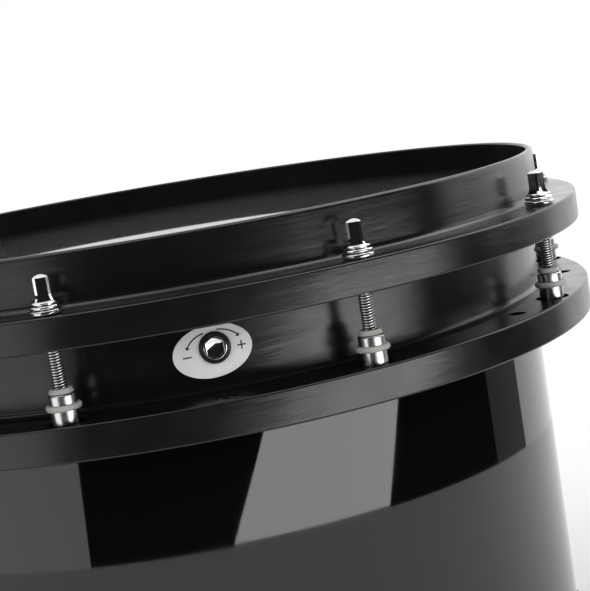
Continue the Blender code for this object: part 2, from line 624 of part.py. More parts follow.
def make_adjuster_plate(end):
    """An oval plate bent to the band, cut from a ring of its own thickness."""
    outer = PLATE_INNER_R + PLATE_THICKNESS
    low = ADJUSTER_Z - PLATE_HEIGHT
    high = ADJUSTER_Z + PLATE_HEIGHT
    profile = [(PLATE_INNER_R, high), (outer, high), (outer, low), (PLATE_INNER_R, low)]
    plate = turned(f"adjuster_plate_{end}", profile, True, RING_SEGMENTS, WHITE_PLATE)
    inner = chord(PLATE_INNER_R, PLATE_WIDTH / 2 + PLATE_SIDE_SET) - OVERCUT
    oval = oval_mesh("plate_outline", PLATE_WIDTH, PLATE_HEIGHT, inner, outer + OVERCUT,
                     (-PLATE_SIDE_SET, ADJUSTER_Z - PLATE_DROP))
    boolean(plate, tool_like(plate, plate.name + "_outline", oval), "INTERSECT")
    hole = (0.0, 0.0, ADJUSTER_Z, -outer - 2 * OVERCUT, -inner + OVERCUT)
    cut(plate, rod_mesh("plate_hole", ADJUSTER_BORE_R, 12, hole, axis="Y"))
    mesh = finished_mesh(plate, f"adjuster_plate_{end}_mesh")
    return facing(link(f"adjuster_plate_{end}", mesh, WHITE_PLATE), end)


def radial_turned(name, profile, segments, material, end):
    """A turned piece whose axis runs outwards through the adjuster's hole."""
    item = turned(name, profile, True, segments, material)
    mesh = finished_mesh(item, name + "_mesh")
    mesh.transform(Matrix.Rotation(math.radians(90.0), 4, "X"))
    item = link(name, mesh, material)
    item.location = (0.0, 0.0, ADJUSTER_Z)
    return facing(item, end)


def make_adjuster_bushing(end):
    counterbore = ADJUSTER_HEAD_R + RUNNING_GAP
    bore = ADJUSTER_SHAFT_R + RUNNING_GAP
    seat = BUSHING_FACE + ADJUSTER_HEAD_PROUD - ADJUSTER_HEAD_DEPTH - SEAT_GAP
    profile = [(counterbore, BUSHING_FACE), (BUSHING_FLANGE_R, BUSHING_FACE),
               (BUSHING_FLANGE_R, BUSHING_SEAT), (BUSHING_R, BUSHING_SEAT), (BUSHING_R, BUSHING_END),
               (bore, BUSHING_END), (bore, seat), (counterbore, seat)]
    return radial_turned(f"adjuster_bushing_{end}", profile, 16, BLACK_PLASTIC, end)


def make_adjuster_screw(end):
    """Hex-socket spindle with an eccentric pin on its inner end, which lifts the top snares."""
    face = BUSHING_FACE + ADJUSTER_HEAD_PROUD
    back = face - ADJUSTER_HEAD_DEPTH
    profile = [(0.0, face), (ADJUSTER_HEAD_R, face), (ADJUSTER_HEAD_R, back),
               (ADJUSTER_SHAFT_R, back), (ADJUSTER_SHAFT_R, SHAFT_END), (CRANK_R, SHAFT_END),
               (CRANK_R, CRANK_END), (0.0, CRANK_END)]
    item = turned(f"adjuster_screw_{end}", profile, False, 12, CHROME)
    pin = (-PIN_SIDE, PIN_RISE, 0.0, CRANK_END - PIN_LENGTH, CRANK_END + CRANK_DEPTH / 2)
    add(item, rod_mesh("eccentric_pin", PIN_R, 8, pin))
    socket = (0.0, 0.0, 0.0, face - HEX_SOCKET_DEPTH, face + OVERCUT)
    cut(item, rod_mesh("hex_socket", HEX_SOCKET_R, 6, socket))
    mesh = finished_mesh(item, f"adjuster_screw_{end}_mesh")
    mesh.transform(Matrix.Rotation(math.radians(90.0), 4, "X"))
    item = link(f"adjuster_screw_{end}", mesh, CHROME)
    item.location = (0.0, 0.0, ADJUSTER_Z)
    return facing(item, end)


# Top snare unit
def solid_of_boxes(name, material, first, *others):
    """One body: a box with more boxes joined to it, each of which reaches into the rest."""
    item = link(name, box_mesh(name, first), material)
    for index, other in enumerate(others):
        tool = helper(link(f"{name}_add_{index}", box_mesh(name, other), None, CUTTERS))
        boolean(item, tool, "UNION")
    return item


def make_top_snare_guide(end):
    """A channel fixed to the edge ring's inner wall, which keeps the frame upright."""
    low = ADJUSTER_Z - GUIDE_LOW
    high = ADJUSTER_Z + GUIDE_HIGH
    inside = GUIDE_HALF - GUIDE_RAIL_WIDTH
    guide = link(f"top_snare_guide_{end}", box_mesh("guide", ((-GUIDE_HALF, -GUIDE_WALL, low),
                 (GUIDE_HALF, -GUIDE_FACE + GUIDE_RAIL_LENGTH, high))), ALUMINIUM)
    channel = ((-inside, -GUIDE_FACE, low - OVERCUT),
               (inside, -GUIDE_FACE + GUIDE_RAIL_LENGTH + OVERCUT, high + OVERCUT))
    cut(guide, box_mesh("guide_channel", channel))
    hole = (0.0, 0.0, ADJUSTER_Z, -GUIDE_WALL - OVERCUT, -GUIDE_FACE + OVERCUT)
    cut(guide, rod_mesh("guide_hole", ADJUSTER_BORE_R, 12, hole, axis="Y"))
    mesh = finished_mesh(guide, f"top_snare_guide_{end}_mesh")
    return facing(link(f"top_snare_guide_{end}", mesh, ALUMINIUM), end)


def make_top_snare_frame():
    """A stiff bar with an end plate in each guide and two posts that carry the wires."""
    bar_low = ADJUSTER_Z + FRAME_BAR_RISE
    bar_high = bar_low + FRAME_BAR_DEPTH
    half = FRAME_END_WIDTH / 2
    bar = FRAME_BAR_WIDTH / 2
    post_top = WIRE_Z - WIRE_PLATE_HEIGHT / 2 - SEAT_GAP
    end_low = ADJUSTER_Z - GUIDE_LOW + FRAME_END_LIFT
    lap = bar_low + OVERCUT
    boxes = [((-half, -FRAME_END_FACE, bar_low), (half, FRAME_END_FACE, bar_high)),
             ((-bar, -FRAME_BAR_HALF, bar_low + WELD_STEP), (bar, FRAME_BAR_HALF, bar_high - WELD_STEP))]
    for sign in (-1, 1):
        near, far = sorted((sign * FRAME_HALF, sign * FRAME_END_FACE))
        boxes.append(((-half, near, end_low), (half, far, lap)))
        near, far = sorted((sign * (FRAME_BAR_HALF - FRAME_POST_DEPTH), sign * (FRAME_BAR_HALF - WELD_STEP)))
        boxes.append(((-bar + WELD_STEP, near, lap), (bar - WELD_STEP, far, post_top)))
    frame = solid_of_boxes("top_snare_frame", ALUMINIUM, *boxes)
    slot_low = ADJUSTER_Z + PIN_RISE - PIN_R - RUNNING_GAP
    slot_high = ADJUSTER_Z + PIN_RISE + PIN_R + RUNNING_GAP
    slots = []
    for sign in (-1, 1):
        near, far = sorted((sign * (FRAME_HALF - OVERCUT), sign * (FRAME_END_FACE + OVERCUT)))
        slots.append(((-FRAME_SLOT_WIDTH / 2, near, slot_low), (FRAME_SLOT_WIDTH / 2, far, slot_high)))
    slots = helper(link("pin_slots", box_mesh("pin_slots", *slots), None, CUTTERS))
    boolean(frame, slots, "DIFFERENCE")
    return frame


def row(count, pitch):
    return [(index - (count - 1) / 2) * pitch for index in range(count)]


def make_top_snare_wires():
    """The wires under the batter head with a plate at each end: one solid stands for the coils."""
    half = (WIRE_COUNT - 1) * WIRE_PITCH / 2 + WIRE_PLATE_MARGIN
    end = FRAME_BAR_HALF + WIRE_PLATE_PROUD
    inner = end - WIRE_PLATE_DEPTH
    low = WIRE_Z - WIRE_PLATE_HEIGHT / 2
    plates = [((-half, min(sign * inner, sign * end), low),
               (half, max(sign * inner, sign * end), low + WIRE_PLATE_HEIGHT)) for sign in (-1, 1)]
    wires = link("top_snare_wires", box_mesh("wire_plates", *plates), STEEL)
    reach = inner + WIRE_LAP
    spans = [(x, 0.0, WIRE_Z, -reach, reach) for x in row(WIRE_COUNT, WIRE_PITCH)]
    tool = rod_mesh("wires", WIRE_R, WIRE_SIDES, *spans, axis="Y")
    boolean(wires, helper(link("wires_add", tool, None, CUTTERS)), "UNION")
    return wires


# Snare-side strands, strainer and butt
def make_snare_strands():
    half = (STRAND_COUNT - 1) * STRAND_PITCH / 2 + STRAND_BAR_MARGIN
    low = STRAND_Z - STRAND_BAR_HEIGHT / 2
    high = STRAND_Z + STRAND_BAR_HEIGHT / 2
    front = ((-half, -STRAND_FRONT, low), (half, -STRAND_FRONT + STRAND_BAR_DEPTH, high))
    back = ((-half, STRAND_BACK - STRAND_BAR_DEPTH, low), (half, STRAND_BACK, high))
    strands = link("snare_strands", box_mesh("strand_bars", front, back), GUT)
    start = -STRAND_FRONT + STRAND_BAR_DEPTH / 2
    end = STRAND_BACK - STRAND_BAR_DEPTH / 2
    spans = [(x, 0.0, STRAND_Z, start, end) for x in row(STRAND_COUNT, STRAND_PITCH)]
    tool = rod_mesh("strands", STRAND_R, STRAND_SIDES, *spans, axis="Y")
    boolean(strands, helper(link("strands_add", tool, None, CUTTERS)), "UNION")
    return strands


def bracket_boxes(cheek_top, cheek_end):
    """A back plate on the lug flange and two cheeks, at the front."""
    half = BRACKET_WIDTH / 2
    plate = ((-half, -BRACKET_FACE - BRACKET_PLATE, BRACKET_FOOT), (half, -BRACKET_FACE, BRACKET_TOP))
    cheeks = [((min(sign * half, sign * (half - CHEEK_WALL)), -cheek_end, BRACKET_FOOT),
               (max(sign * half, sign * (half - CHEEK_WALL)), -BRACKET_FACE - BRACKET_PLATE / 2, cheek_top))
              for sign in (-1, 1)]
    return [plate, *cheeks]


def strand_window():
    half = GATE_WIDTH / 2
    return ((-half, -BRACKET_FACE - BRACKET_PLATE - OVERCUT, STRAND_Z - GATE_HEIGHT / 2),
            (half, -BRACKET_FACE + OVERCUT, STRAND_Z + GATE_HEIGHT / 2))


def groove_boxes(start, end):
    """Grooves in the inner faces of both cheeks, where a jaw's tongues run."""
    inner = BRACKET_WIDTH / 2 - CHEEK_WALL
    middle = (JAW_LOW + JAW_HIGH) / 2
    half = TONGUE_HEIGHT / 2 + RUNNING_GAP
    depth = inner + TONGUE_DEPTH + RUNNING_GAP
    return [((min(sign * (inner - OVERCUT), sign * depth), -end, middle - half),
             (max(sign * (inner - OVERCUT), sign * depth), -start, middle + half)) for sign in (-1, 1)]


def make_jaw(name, material, start, depth):
    """A block between the cheeks, with a tongue on each side."""
    inner = BRACKET_WIDTH / 2 - CHEEK_WALL
    middle = (JAW_LOW + JAW_HIGH) / 2
    tongue_start = start + TONGUE_SET
    tongue = ((-inner - TONGUE_DEPTH, -tongue_start - TONGUE_LENGTH, middle - TONGUE_HEIGHT / 2),
              (inner + TONGUE_DEPTH, -tongue_start, middle + TONGUE_HEIGHT / 2))
    block = ((-JAW_HALF, -start - depth, JAW_LOW), (JAW_HALF, -start, JAW_HIGH))
    return solid_of_boxes(name, material, block, tongue)


def pocket_box(start, depth):
    """The room in a jaw for the strands' bar and, under it, the clamp plate."""
    return ((-JAW_POCKET_HALF, -start - depth, JAW_LOW - OVERCUT),
            (JAW_POCKET_HALF, -start + OVERCUT, POCKET_ROOF))


def make_clamp_plate(name, start, depth):
    """The plate that is screwed up from below against the strands' bar."""
    half = JAW_POCKET_HALF - SEAT_GAP
    low = (-half, -start - depth + SEAT_GAP, JAW_LOW + SEAT_GAP)
    return link(name, box_mesh(name, (low, (half, -start - SEAT_GAP, CLAMP_TOP))), CHROME)


def make_strainer_bracket():
    bracket = solid_of_boxes("strainer_bracket", CHROME, *bracket_boxes(STRAINER_CHEEK_TOP, REACH))
    tongue_start = CARRIAGE_START + TONGUE_SET
    grooves = groove_boxes(tongue_start - CAM_TRAVEL - GROOVE_END_GAP,
                           tongue_start + TONGUE_LENGTH + GROOVE_END_GAP)
    cut(bracket, box_mesh("strainer_cuts", strand_window(), *grooves))
    pivot = (0.0, -PIVOT_R_OUT, PIVOT_HEIGHT, -BRACKET_WIDTH, BRACKET_WIDTH)
    cut(bracket, rod_mesh("pivot_holes", PIVOT_R + RUNNING_GAP, 12, pivot, axis="X"))
    return bracket


def make_strainer_carriage():
    """The jaw with a yoke on top, which the lever's cam pushes in and out."""
    carriage = make_jaw("strainer_carriage", STEEL, CARRIAGE_START, CARRIAGE_DEPTH)
    half = CAM_WIDTH / 2 - RUNNING_GAP
    far = CARRIAGE_START + CARRIAGE_DEPTH
    yoke = ((-half, -far + WELD_STEP, JAW_HIGH - OVERCUT), (half, -CARRIAGE_START - WELD_STEP, YOKE_TOP))
    slot = ((-half - OVERCUT, -far + YOKE_WALL, JAW_HIGH + OVERCUT),
            (half + OVERCUT, -CARRIAGE_START - YOKE_WALL, YOKE_TOP + OVERCUT))
    add(carriage, box_mesh("yoke", yoke))
    cut(carriage, box_mesh("yoke_slot", slot))
    cut(carriage, box_mesh("carriage_pocket", pocket_box(CARRIAGE_START, CARRIAGE_POCKET)))
    return carriage


def make_lever_pin():
    half = BRACKET_WIDTH / 2 + PIVOT_PROUD
    mesh = rod_mesh("lever_pin", PIVOT_R, 12, (0.0, 0.0, 0.0, -half, half), axis="X")
    pin = link("strainer_lever_pin", mesh, STEEL)
    pin.location = (0.0, -PIVOT_R_OUT, PIVOT_HEIGHT)
    return pin


def make_strainer_lever():
    """Throw-off lever about its pivot: a cam between two arms that carry the handle."""
    half_cam = CAM_WIDTH / 2
    arm_out = half_cam + LEVER_ARM_WALL
    hub_half = BRACKET_WIDTH / 2 - CHEEK_WALL - RUNNING_GAP
    cam = rod_mesh("cam", CAM_R, 20, (0.0, -CAM_OUT, CAM_UP, -half_cam - WELD_STEP, half_cam + WELD_STEP),
                   axis="X")
    lever = link("strainer_lever", cam, CHROME)
    lever.location = (0.0, -PIVOT_R_OUT, PIVOT_HEIGHT)
    hubs = [(0.0, 0.0, 0.0, half_cam, hub_half), (0.0, 0.0, 0.0, -hub_half, -half_cam)]
    arm_half = LEVER_HUB_R - LEVER_ARM_SET
    arms = [((min(sign * half_cam, sign * arm_out), -arm_half, -LEVER_ARM_FOOT),
             (max(sign * half_cam, sign * arm_out), arm_half, LEVER_HANDLE_START + LEVER_ARM_LAP))
            for sign in (-1, 1)]
    handle = ((-LEVER_WIDTH / 2, -LEVER_THICKNESS / 2, LEVER_HANDLE_START),
              (LEVER_WIDTH / 2, LEVER_THICKNESS / 2, LEVER_LENGTH))
    add(lever, rod_mesh("lever_hubs", LEVER_HUB_R, 16, *hubs, axis="X"))
    for arm in arms:
        add(lever, box_mesh("lever_arm", arm))
    add(lever, box_mesh("lever_handle", handle))
    bore = (0.0, 0.0, 0.0, -BRACKET_WIDTH, BRACKET_WIDTH)
    cut(lever, rod_mesh("lever_bore", PIVOT_R + RUNNING_GAP, 12, bore, axis="X"))
    return lever


def make_butt_bracket():
    half = BRACKET_WIDTH / 2 - WELD_STEP
    wall = ((-half, -BUTT_WALL_END + WELD_STEP, BRACKET_FOOT + WELD_STEP),
            (half, -BUTT_WALL_END + BUTT_WALL, BUTT_CHEEK_TOP - WELD_STEP))
    bracket = solid_of_boxes("butt_bracket", CHROME, *bracket_boxes(BUTT_CHEEK_TOP, BUTT_WALL_END), wall)
    tongue_start = BUTT_JAW_FACE + TONGUE_SET
    reach = BUTT_TRAVEL + GROOVE_END_GAP
    grooves = groove_boxes(tongue_start - reach, tongue_start + TONGUE_LENGTH + reach)
    cut(bracket, box_mesh("butt_cuts", strand_window(), *grooves))
    hole = (0.0, 0.0, KNOB_HEIGHT, -REACH, -BUTT_WALL_END + BUTT_WALL + OVERCUT)
    cut(bracket, rod_mesh("knob_hole", KNOB_SHAFT_R + RUNNING_GAP, 12, hole, axis="Y"))
    return turned_back(bracket)


def make_butt_jaw():
    jaw = make_jaw("butt_jaw", STEEL, BUTT_JAW_FACE, BUTT_JAW_DEPTH)
    cut(jaw, box_mesh("butt_pocket", pocket_box(BUTT_JAW_FACE, BUTT_POCKET)))
    outer = BUTT_JAW_FACE + BUTT_JAW_DEPTH
    hole = (0.0, 0.0, KNOB_HEIGHT, -outer - OVERCUT, -BUTT_JAW_FACE - BUTT_POCKET - THREAD_FLOOR)
    cut(jaw, rod_mesh("jaw_thread", KNOB_SHAFT_R + RUNNING_GAP, 12, hole, axis="Y"))
    return turned_back(jaw)


def make_butt_clamp():
    return turned_back(make_clamp_plate("butt_clamp_plate", BUTT_JAW_FACE, BUTT_POCKET))


def make_butt_knob():
    tip = BUTT_JAW_FACE + BUTT_POCKET + THREAD_FLOOR + BUTT_TRAVEL + SEAT_GAP
    seat = BUTT_WALL_END + SEAT_GAP
    profile = [(0.0, REACH), (KNOB_R - KNOB_CHAMFER, REACH), (KNOB_R, REACH - KNOB_CHAMFER), (KNOB_R, seat),
               (KNOB_SHAFT_R, seat), (KNOB_SHAFT_R, tip), (0.0, tip)]
    mesh = finished_mesh(turned("butt_knob_pattern", profile, False, 16), "butt_tension_knob_mesh")
    mesh.transform(Matrix.Rotation(math.radians(90.0), 4, "X"))
    knob = link("butt_tension_knob", mesh, CHROME)
    knob.location = (0.0, 0.0, KNOB_HEIGHT)
    knob.rotation_euler = (0.0, 0.0, math.pi)
    return knob


def build():
    make_hoop("batter_hoop", "batter")
    make_film("batter_head_film", "batter")
    make_flesh_hoop("batter_flesh_hoop", "batter")
    make_upper_edge_ring()
    make_shell()
    make_vent_grommet()
    make_lower_edge_ring()
    make_flesh_hoop("snare_flesh_hoop", "snare")
    make_film("snare_head_film", "snare")
    cut_snare_gates(make_hoop("snare_hoop", "snare"))
    make_tension_rods("batter")
    make_batter_lug_tubes()
    make_tension_rods("snare")
    for end in ("front", "back"):
        make_adjuster_plate(end)
        make_adjuster_bushing(end)
        make_adjuster_screw(end)
        make_top_snare_guide(end)
    make_top_snare_frame()
    make_top_snare_wires()
    make_snare_strands()
    make_strainer_bracket()
    make_strainer_carriage()
    make_clamp_plate("strainer_clamp_plate", CARRIAGE_START, CARRIAGE_POCKET)
    make_lever_pin()
    make_strainer_lever()
    make_butt_bracket()
    make_butt_jaw()
    make_butt_clamp()
    make_butt_knob()


build()
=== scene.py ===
# %% [markdown]
# # A marching snare drum, dressed for its portrait
#
# The construction of this drum comes from a CAD model: a gloss black shell floats between two cast
# rings, and ten key rods a side pull a hoop down onto each head. Here every visible surface gets its
# finished shape and its material, and the studio is set up as in the photograph. Each cell makes
# one kind of piece, says what it made, and leaves the CAD model where it is.

# %% Load the frame
import json
import math

import bpy
from mathutils import Matrix, Vector

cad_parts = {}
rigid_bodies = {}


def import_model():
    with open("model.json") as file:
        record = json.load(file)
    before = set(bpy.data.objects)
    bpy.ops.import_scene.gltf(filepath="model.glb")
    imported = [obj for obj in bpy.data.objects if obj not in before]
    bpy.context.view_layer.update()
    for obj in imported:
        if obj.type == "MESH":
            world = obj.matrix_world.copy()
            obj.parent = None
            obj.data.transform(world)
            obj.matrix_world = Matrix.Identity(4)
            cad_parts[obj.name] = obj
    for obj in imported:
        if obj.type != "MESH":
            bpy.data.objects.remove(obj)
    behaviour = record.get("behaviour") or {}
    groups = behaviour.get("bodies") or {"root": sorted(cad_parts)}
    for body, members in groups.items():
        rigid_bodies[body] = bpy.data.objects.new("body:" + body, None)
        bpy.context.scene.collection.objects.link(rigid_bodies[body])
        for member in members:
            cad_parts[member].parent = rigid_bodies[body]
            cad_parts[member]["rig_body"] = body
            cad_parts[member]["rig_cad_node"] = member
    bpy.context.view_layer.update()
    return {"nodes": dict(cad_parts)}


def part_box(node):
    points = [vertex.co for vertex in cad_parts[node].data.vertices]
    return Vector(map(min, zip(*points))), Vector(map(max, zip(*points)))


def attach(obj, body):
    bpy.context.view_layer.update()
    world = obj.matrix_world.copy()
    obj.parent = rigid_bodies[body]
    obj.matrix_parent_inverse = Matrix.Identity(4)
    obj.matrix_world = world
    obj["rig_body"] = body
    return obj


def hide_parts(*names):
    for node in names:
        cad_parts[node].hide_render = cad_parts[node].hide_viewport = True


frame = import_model()

# %% [markdown]
# ## Sizes that everything shares
#
# A piece must sit where the CAD model says, so the heights and radii are read from the frame's own
# boxes. What the boxes don't show, such as the radius of a fillet, is a named value beside the piece
# that uses it. The snare side is the batter side turned over about the middle of the drum.

# %% Read the main sizes
MM = 0.001
ROD_COUNT = 10
RIM_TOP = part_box("batter_hoop")[1].z
FLANGE_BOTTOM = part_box("batter_hoop")[0].z
FLANGE_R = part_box("batter_hoop")[1].x
HEAD_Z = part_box("batter_head_film")[1].z
HEAD_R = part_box("batter_head_film")[1].x
LUG_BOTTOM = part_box("upper_edge_ring")[0].z
LUG_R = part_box("upper_edge_ring")[1].x
EDGE_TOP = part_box("upper_edge_ring")[1].z
FLESH_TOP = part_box("batter_flesh_hoop")[1].z
FLESH_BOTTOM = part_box("batter_flesh_hoop")[0].z
FLESH_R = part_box("batter_flesh_hoop")[1].x
SHELL_BOTTOM, SHELL_TOP = (corner.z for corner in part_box("shell"))
SHELL_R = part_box("shell")[1].x
MIDDLE_Z = (SHELL_BOTTOM + SHELL_TOP) / 2
SEAT_GAP = 0.3 * MM
WASHER_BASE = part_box("batter_tension_rod_01")[1].z - 15.3 * MM
FLANGE_TOP = WASHER_BASE
ROD_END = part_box("batter_tension_rod_01")[0].z
LUG_TOP = LUG_BOTTOM + 14.0 * MM
ROD_CIRCLE_R = FLANGE_R - 8.0 * MM
COLLAR_INNER_R = HEAD_R + 1.5 * MM
COLLAR_R = COLLAR_INNER_R + 3.0 * MM
BAND_R = HEAD_R - 0.7 * MM
BAND_INNER_R = BAND_R - 4.4 * MM
ROUND_STEPS = 240
print("rim top %.4f m, flange %.4f m across, head at %.4f m" % (RIM_TOP, 2 * FLANGE_R, HEAD_Z))

# %% [markdown]
# ## Working by hand
#
# Blender's operators act on what is selected, so each helper first leaves edit mode and deselects
# everything. A finished piece has its place in its mesh and its object at the origin, as a CAD
# node has, so a pattern in its material doesn't slide when the piece is exported.

# %% Selecting and applying


def rest():
    """Back to object mode with nothing selected."""
    if bpy.context.object and bpy.context.object.mode != "OBJECT":
        bpy.ops.object.mode_set(mode="OBJECT")
    bpy.ops.object.select_all(action="DESELECT")


def take(*pieces):
    rest()
    for piece in pieces:
        piece.select_set(True)
    bpy.context.view_layer.objects.active = pieces[0]
    return pieces[0]


def named(name):
    """Names the object that an operator has just added."""
    piece = bpy.context.object
    piece.name = name
    piece.data.name = name
    return piece


def settle(piece):
    """Moves an object's place, turn and scale into its mesh."""
    take(piece)
    bpy.ops.object.transform_apply(location=True, rotation=True, scale=True)
    return piece


def apply(piece, modifier):
    take(piece)
    bpy.ops.object.modifier_apply(modifier=modifier.name)
    return piece


def copy_of(piece, name, matrix=None):
    """A copy with its own mesh, put somewhere else."""
    take(piece)
    bpy.ops.object.duplicate(linked=False)
    copy = named(name)
    if matrix:
        copy.data.transform(matrix)
    return copy


def discard(piece):
    take(piece)
    bpy.ops.object.delete()


def join(name, *pieces):
    take(*pieces)
    if len(pieces) > 1:
        bpy.ops.object.join()
    return named(name)


# %% Shaping helpers


SUPPORT_STEP = 0.12 * MM
SUPPORTED_RUN = 1.0 * MM


def rounded(corners, steps=4):
    """An outline's points: each (across, height, radius) corner becomes an arc.

    Where a long straight run meets an arc, a point close beside the arc keeps the run flat when
    the shading is smoothed.
    """
    spots = [Vector(corner[:2]) for corner in corners]
    ways = [(spots[index - 1] - here, spots[(index + 1) % len(spots)] - here)
            for index, here in enumerate(spots)]
    reaches = [radius / math.tan(before.angle(after) / 2) if radius else 0.0
               for (_, _, radius), (before, after) in zip(corners, ways)]
    points = []
    for index, (here, (before, after)) in enumerate(zip(spots, ways)):
        radius = corners[index][2]
        if radius == 0:
            points.append(here)
            continue
        run_before = before.length - reaches[index] - reaches[index - 1]
        run_after = after.length - reaches[index] - reaches[(index + 1) % len(spots)]
        before.normalize()
        after.normalize()
        centre = here + (before + after).normalized() * math.hypot(radius, reaches[index])
        start = here + before * reaches[index]
        end = here + after * reaches[index]
        if run_before > SUPPORTED_RUN:
            points.append(start + before * SUPPORT_STEP)
        for step in range(steps + 1):
            spoke = (start - centre).slerp(end - centre, step / steps)
            points.append(centre + spoke.normalized() * radius)
        if run_after > SUPPORTED_RUN:
            points.append(end + after * SUPPORT_STEP)
    return points


def outline(name, points, closed=True):
    """A circle of vertices, each moved to its place on a cross-section in the XZ plane."""
    rest()
    bpy.ops.mesh.primitive_circle_add(vertices=len(points), radius=1.0, fill_type="NOTHING")
    piece = named(name)
    for vertex, (across, height) in zip(piece.data.vertices, points):
        vertex.co = (across, 0.0, height)
    if not closed:
        last = len(points) - 1
        for edge in piece.data.edges:
            edge.select = set(edge.vertices) == {0, last}
        for vertex in piece.data.vertices:
            vertex.select = vertex.index in (0, last)
        bpy.ops.object.mode_set(mode="EDIT")
        bpy.ops.mesh.select_mode(type="EDGE")
        bpy.ops.mesh.delete(type="EDGE_FACE")
        bpy.ops.mesh.select_mode(type="VERT")
        rest()
    return piece


def spun(name, points, closed=True, steps=ROUND_STEPS):
    """A cross-section spun once round the Z axis, with its seam closed."""
    piece = take(outline(name, points, closed))
    bpy.ops.object.mode_set(mode="EDIT")
    bpy.ops.mesh.select_all(action="SELECT")
    bpy.ops.mesh.spin(steps=steps, angle=2 * math.pi, center=(0, 0, 0), axis=(0, 0, 1))
    bpy.ops.mesh.select_all(action="SELECT")
    bpy.ops.mesh.remove_doubles(threshold=0.002 * MM)
    bpy.ops.mesh.normals_make_consistent(inside=False)
    rest()
    return piece


def rolled(name, columns, rows, place):
    """A grid rolled into a tube and capped. Place says where the vertex of a column and row goes."""
    rest()
    bpy.ops.mesh.primitive_grid_add(x_subdivisions=columns, y_subdivisions=rows, size=2.0)
    piece = named(name)
    for vertex in piece.data.vertices:
        column = round((vertex.co.x + 1) / 2 * columns)
        row = round((vertex.co.y + 1) / 2 * rows)
        vertex.co = place(column, row)
    take(piece)
    bpy.ops.object.mode_set(mode="EDIT")
    bpy.ops.mesh.select_all(action="SELECT")
    bpy.ops.mesh.remove_doubles(threshold=0.004 * MM)
    bpy.ops.mesh.select_all(action="DESELECT")
    bpy.ops.mesh.select_mode(type="VERT")
    bpy.ops.mesh.select_non_manifold()
    bpy.ops.mesh.edge_face_add()
    bpy.ops.mesh.select_all(action="SELECT")
    bpy.ops.mesh.normals_make_consistent(inside=False)
    rest()
    return piece


def bevel(piece, width, segments=2, angle=30.0):
    modifier = piece.modifiers.new("soft edges", "BEVEL")
    modifier.width = width
    modifier.segments = segments
    modifier.limit_method = "ANGLE"
    modifier.angle_limit = math.radians(angle)
    modifier.use_clamp_overlap = True
    return apply(piece, modifier)


def cut(piece, cutter):
    modifier = piece.modifiers.new("cut", "BOOLEAN")
    modifier.operation = "DIFFERENCE"
    modifier.solver = "EXACT"
    modifier.object = cutter
    apply(piece, modifier)
    discard(cutter)
    return piece


def smooth(piece, angle=35.0, weighted=False):
    """Smooth shading, with the normals of the small faces bent and the large ones kept if weighted."""
    take(piece)
    bpy.ops.object.shade_smooth_by_angle(angle=math.radians(angle))
    if weighted:
        modifier = piece.modifiers.new("face weights", "WEIGHTED_NORMAL")
        modifier.keep_sharp = True
        apply(piece, modifier)
    return piece


def cylinder(name, radius, start, end, place=(0, 0), axis="Z", sides=32):
    """A plain cylinder along an axis, from start to end. Place gives the other two coordinates."""
    rest()
    bpy.ops.mesh.primitive_cylinder_add(vertices=sides, radius=radius, depth=end - start)
    piece = named(name)
    middle = (start + end) / 2
    if axis == "Z":
        piece.location = (place[0], place[1], middle)
    elif axis == "Y":
        piece.rotation_euler = (math.pi / 2, 0, 0)
        piece.location = (place[0], middle, place[1])
    else:
        piece.rotation_euler = (0, math.pi / 2, 0)
        piece.location = (middle, place[0], place[1])
    return settle(piece)


def box(name, low, high):
    rest()
    low, high = Vector(low), Vector(high)
    bpy.ops.mesh.primitive_cube_add(size=1.0, location=(low + high) / 2)
    piece = named(name)
    piece.scale = high - low
    return settle(piece)


def rod_places(radius=ROD_CIRCLE_R):
    """(number, angle, x, y) of the ten rods, counted from the front towards +X."""
    for index in range(ROD_COUNT):
        angle = math.radians(180.0 / ROD_COUNT + 360.0 / ROD_COUNT * index)
        yield index + 1, angle, radius * math.sin(angle), -radius * math.cos(angle)


TURN_OVER = Matrix.Translation((0, 0, 2 * MIDDLE_Z)) @ Matrix.Rotation(math.pi, 4, "X")
FACE_BACK = Matrix.Rotation(math.pi, 4, "Z")
FACE_FRONT = Matrix.Rotation(math.pi / 2, 4, "X")
print("helpers are ready")

# %% [markdown]
# ## The studio
#
# The camera stands just above the batter head and a little to the left of the drum's front, with a
# long lens, and it is rolled, which is why the rims climb to the right. Its angles come from a
# fit to the rims and rods of the photograph.

# %% Camera
IMAGE_SIDE = 591
FOCAL_PIXELS = 1478.36
CAMERA_DISTANCE = 4.0196 * COLLAR_R
CAMERA_ELEVATION = math.radians(5.341)
CAMERA_TURN = math.radians(-3.594)
CAMERA_YAW = math.radians(4.555)
CAMERA_PITCH = math.radians(-2.720)
CAMERA_ROLL = math.radians(9.734)


def make_camera():
    rest()
    bpy.ops.object.camera_add()
    camera = named("portrait_camera")
    turn = Matrix.Rotation(CAMERA_TURN, 4, "Z")
    back = Vector((0, -math.cos(CAMERA_ELEVATION), math.sin(CAMERA_ELEVATION)))
    place = turn @ (back * CAMERA_DISTANCE) + Vector((0, 0, FLANGE_TOP))
    aim = (turn @ Matrix.Rotation(math.pi / 2 - CAMERA_ELEVATION, 4, "X")
           @ Matrix.Rotation(-CAMERA_YAW, 4, "Y") @ Matrix.Rotation(CAMERA_PITCH, 4, "X")
           @ Matrix.Rotation(-CAMERA_ROLL, 4, "Z"))
    camera.matrix_world = Matrix.Translation(place) @ aim
    camera.data.sensor_width = 36.0
    camera.data.lens = FOCAL_PIXELS * camera.data.sensor_width / IMAGE_SIDE
    camera.data.clip_start = 0.01
    bpy.context.scene.camera = camera
    return camera


print("camera at", [round(value, 3) for value in make_camera().location])

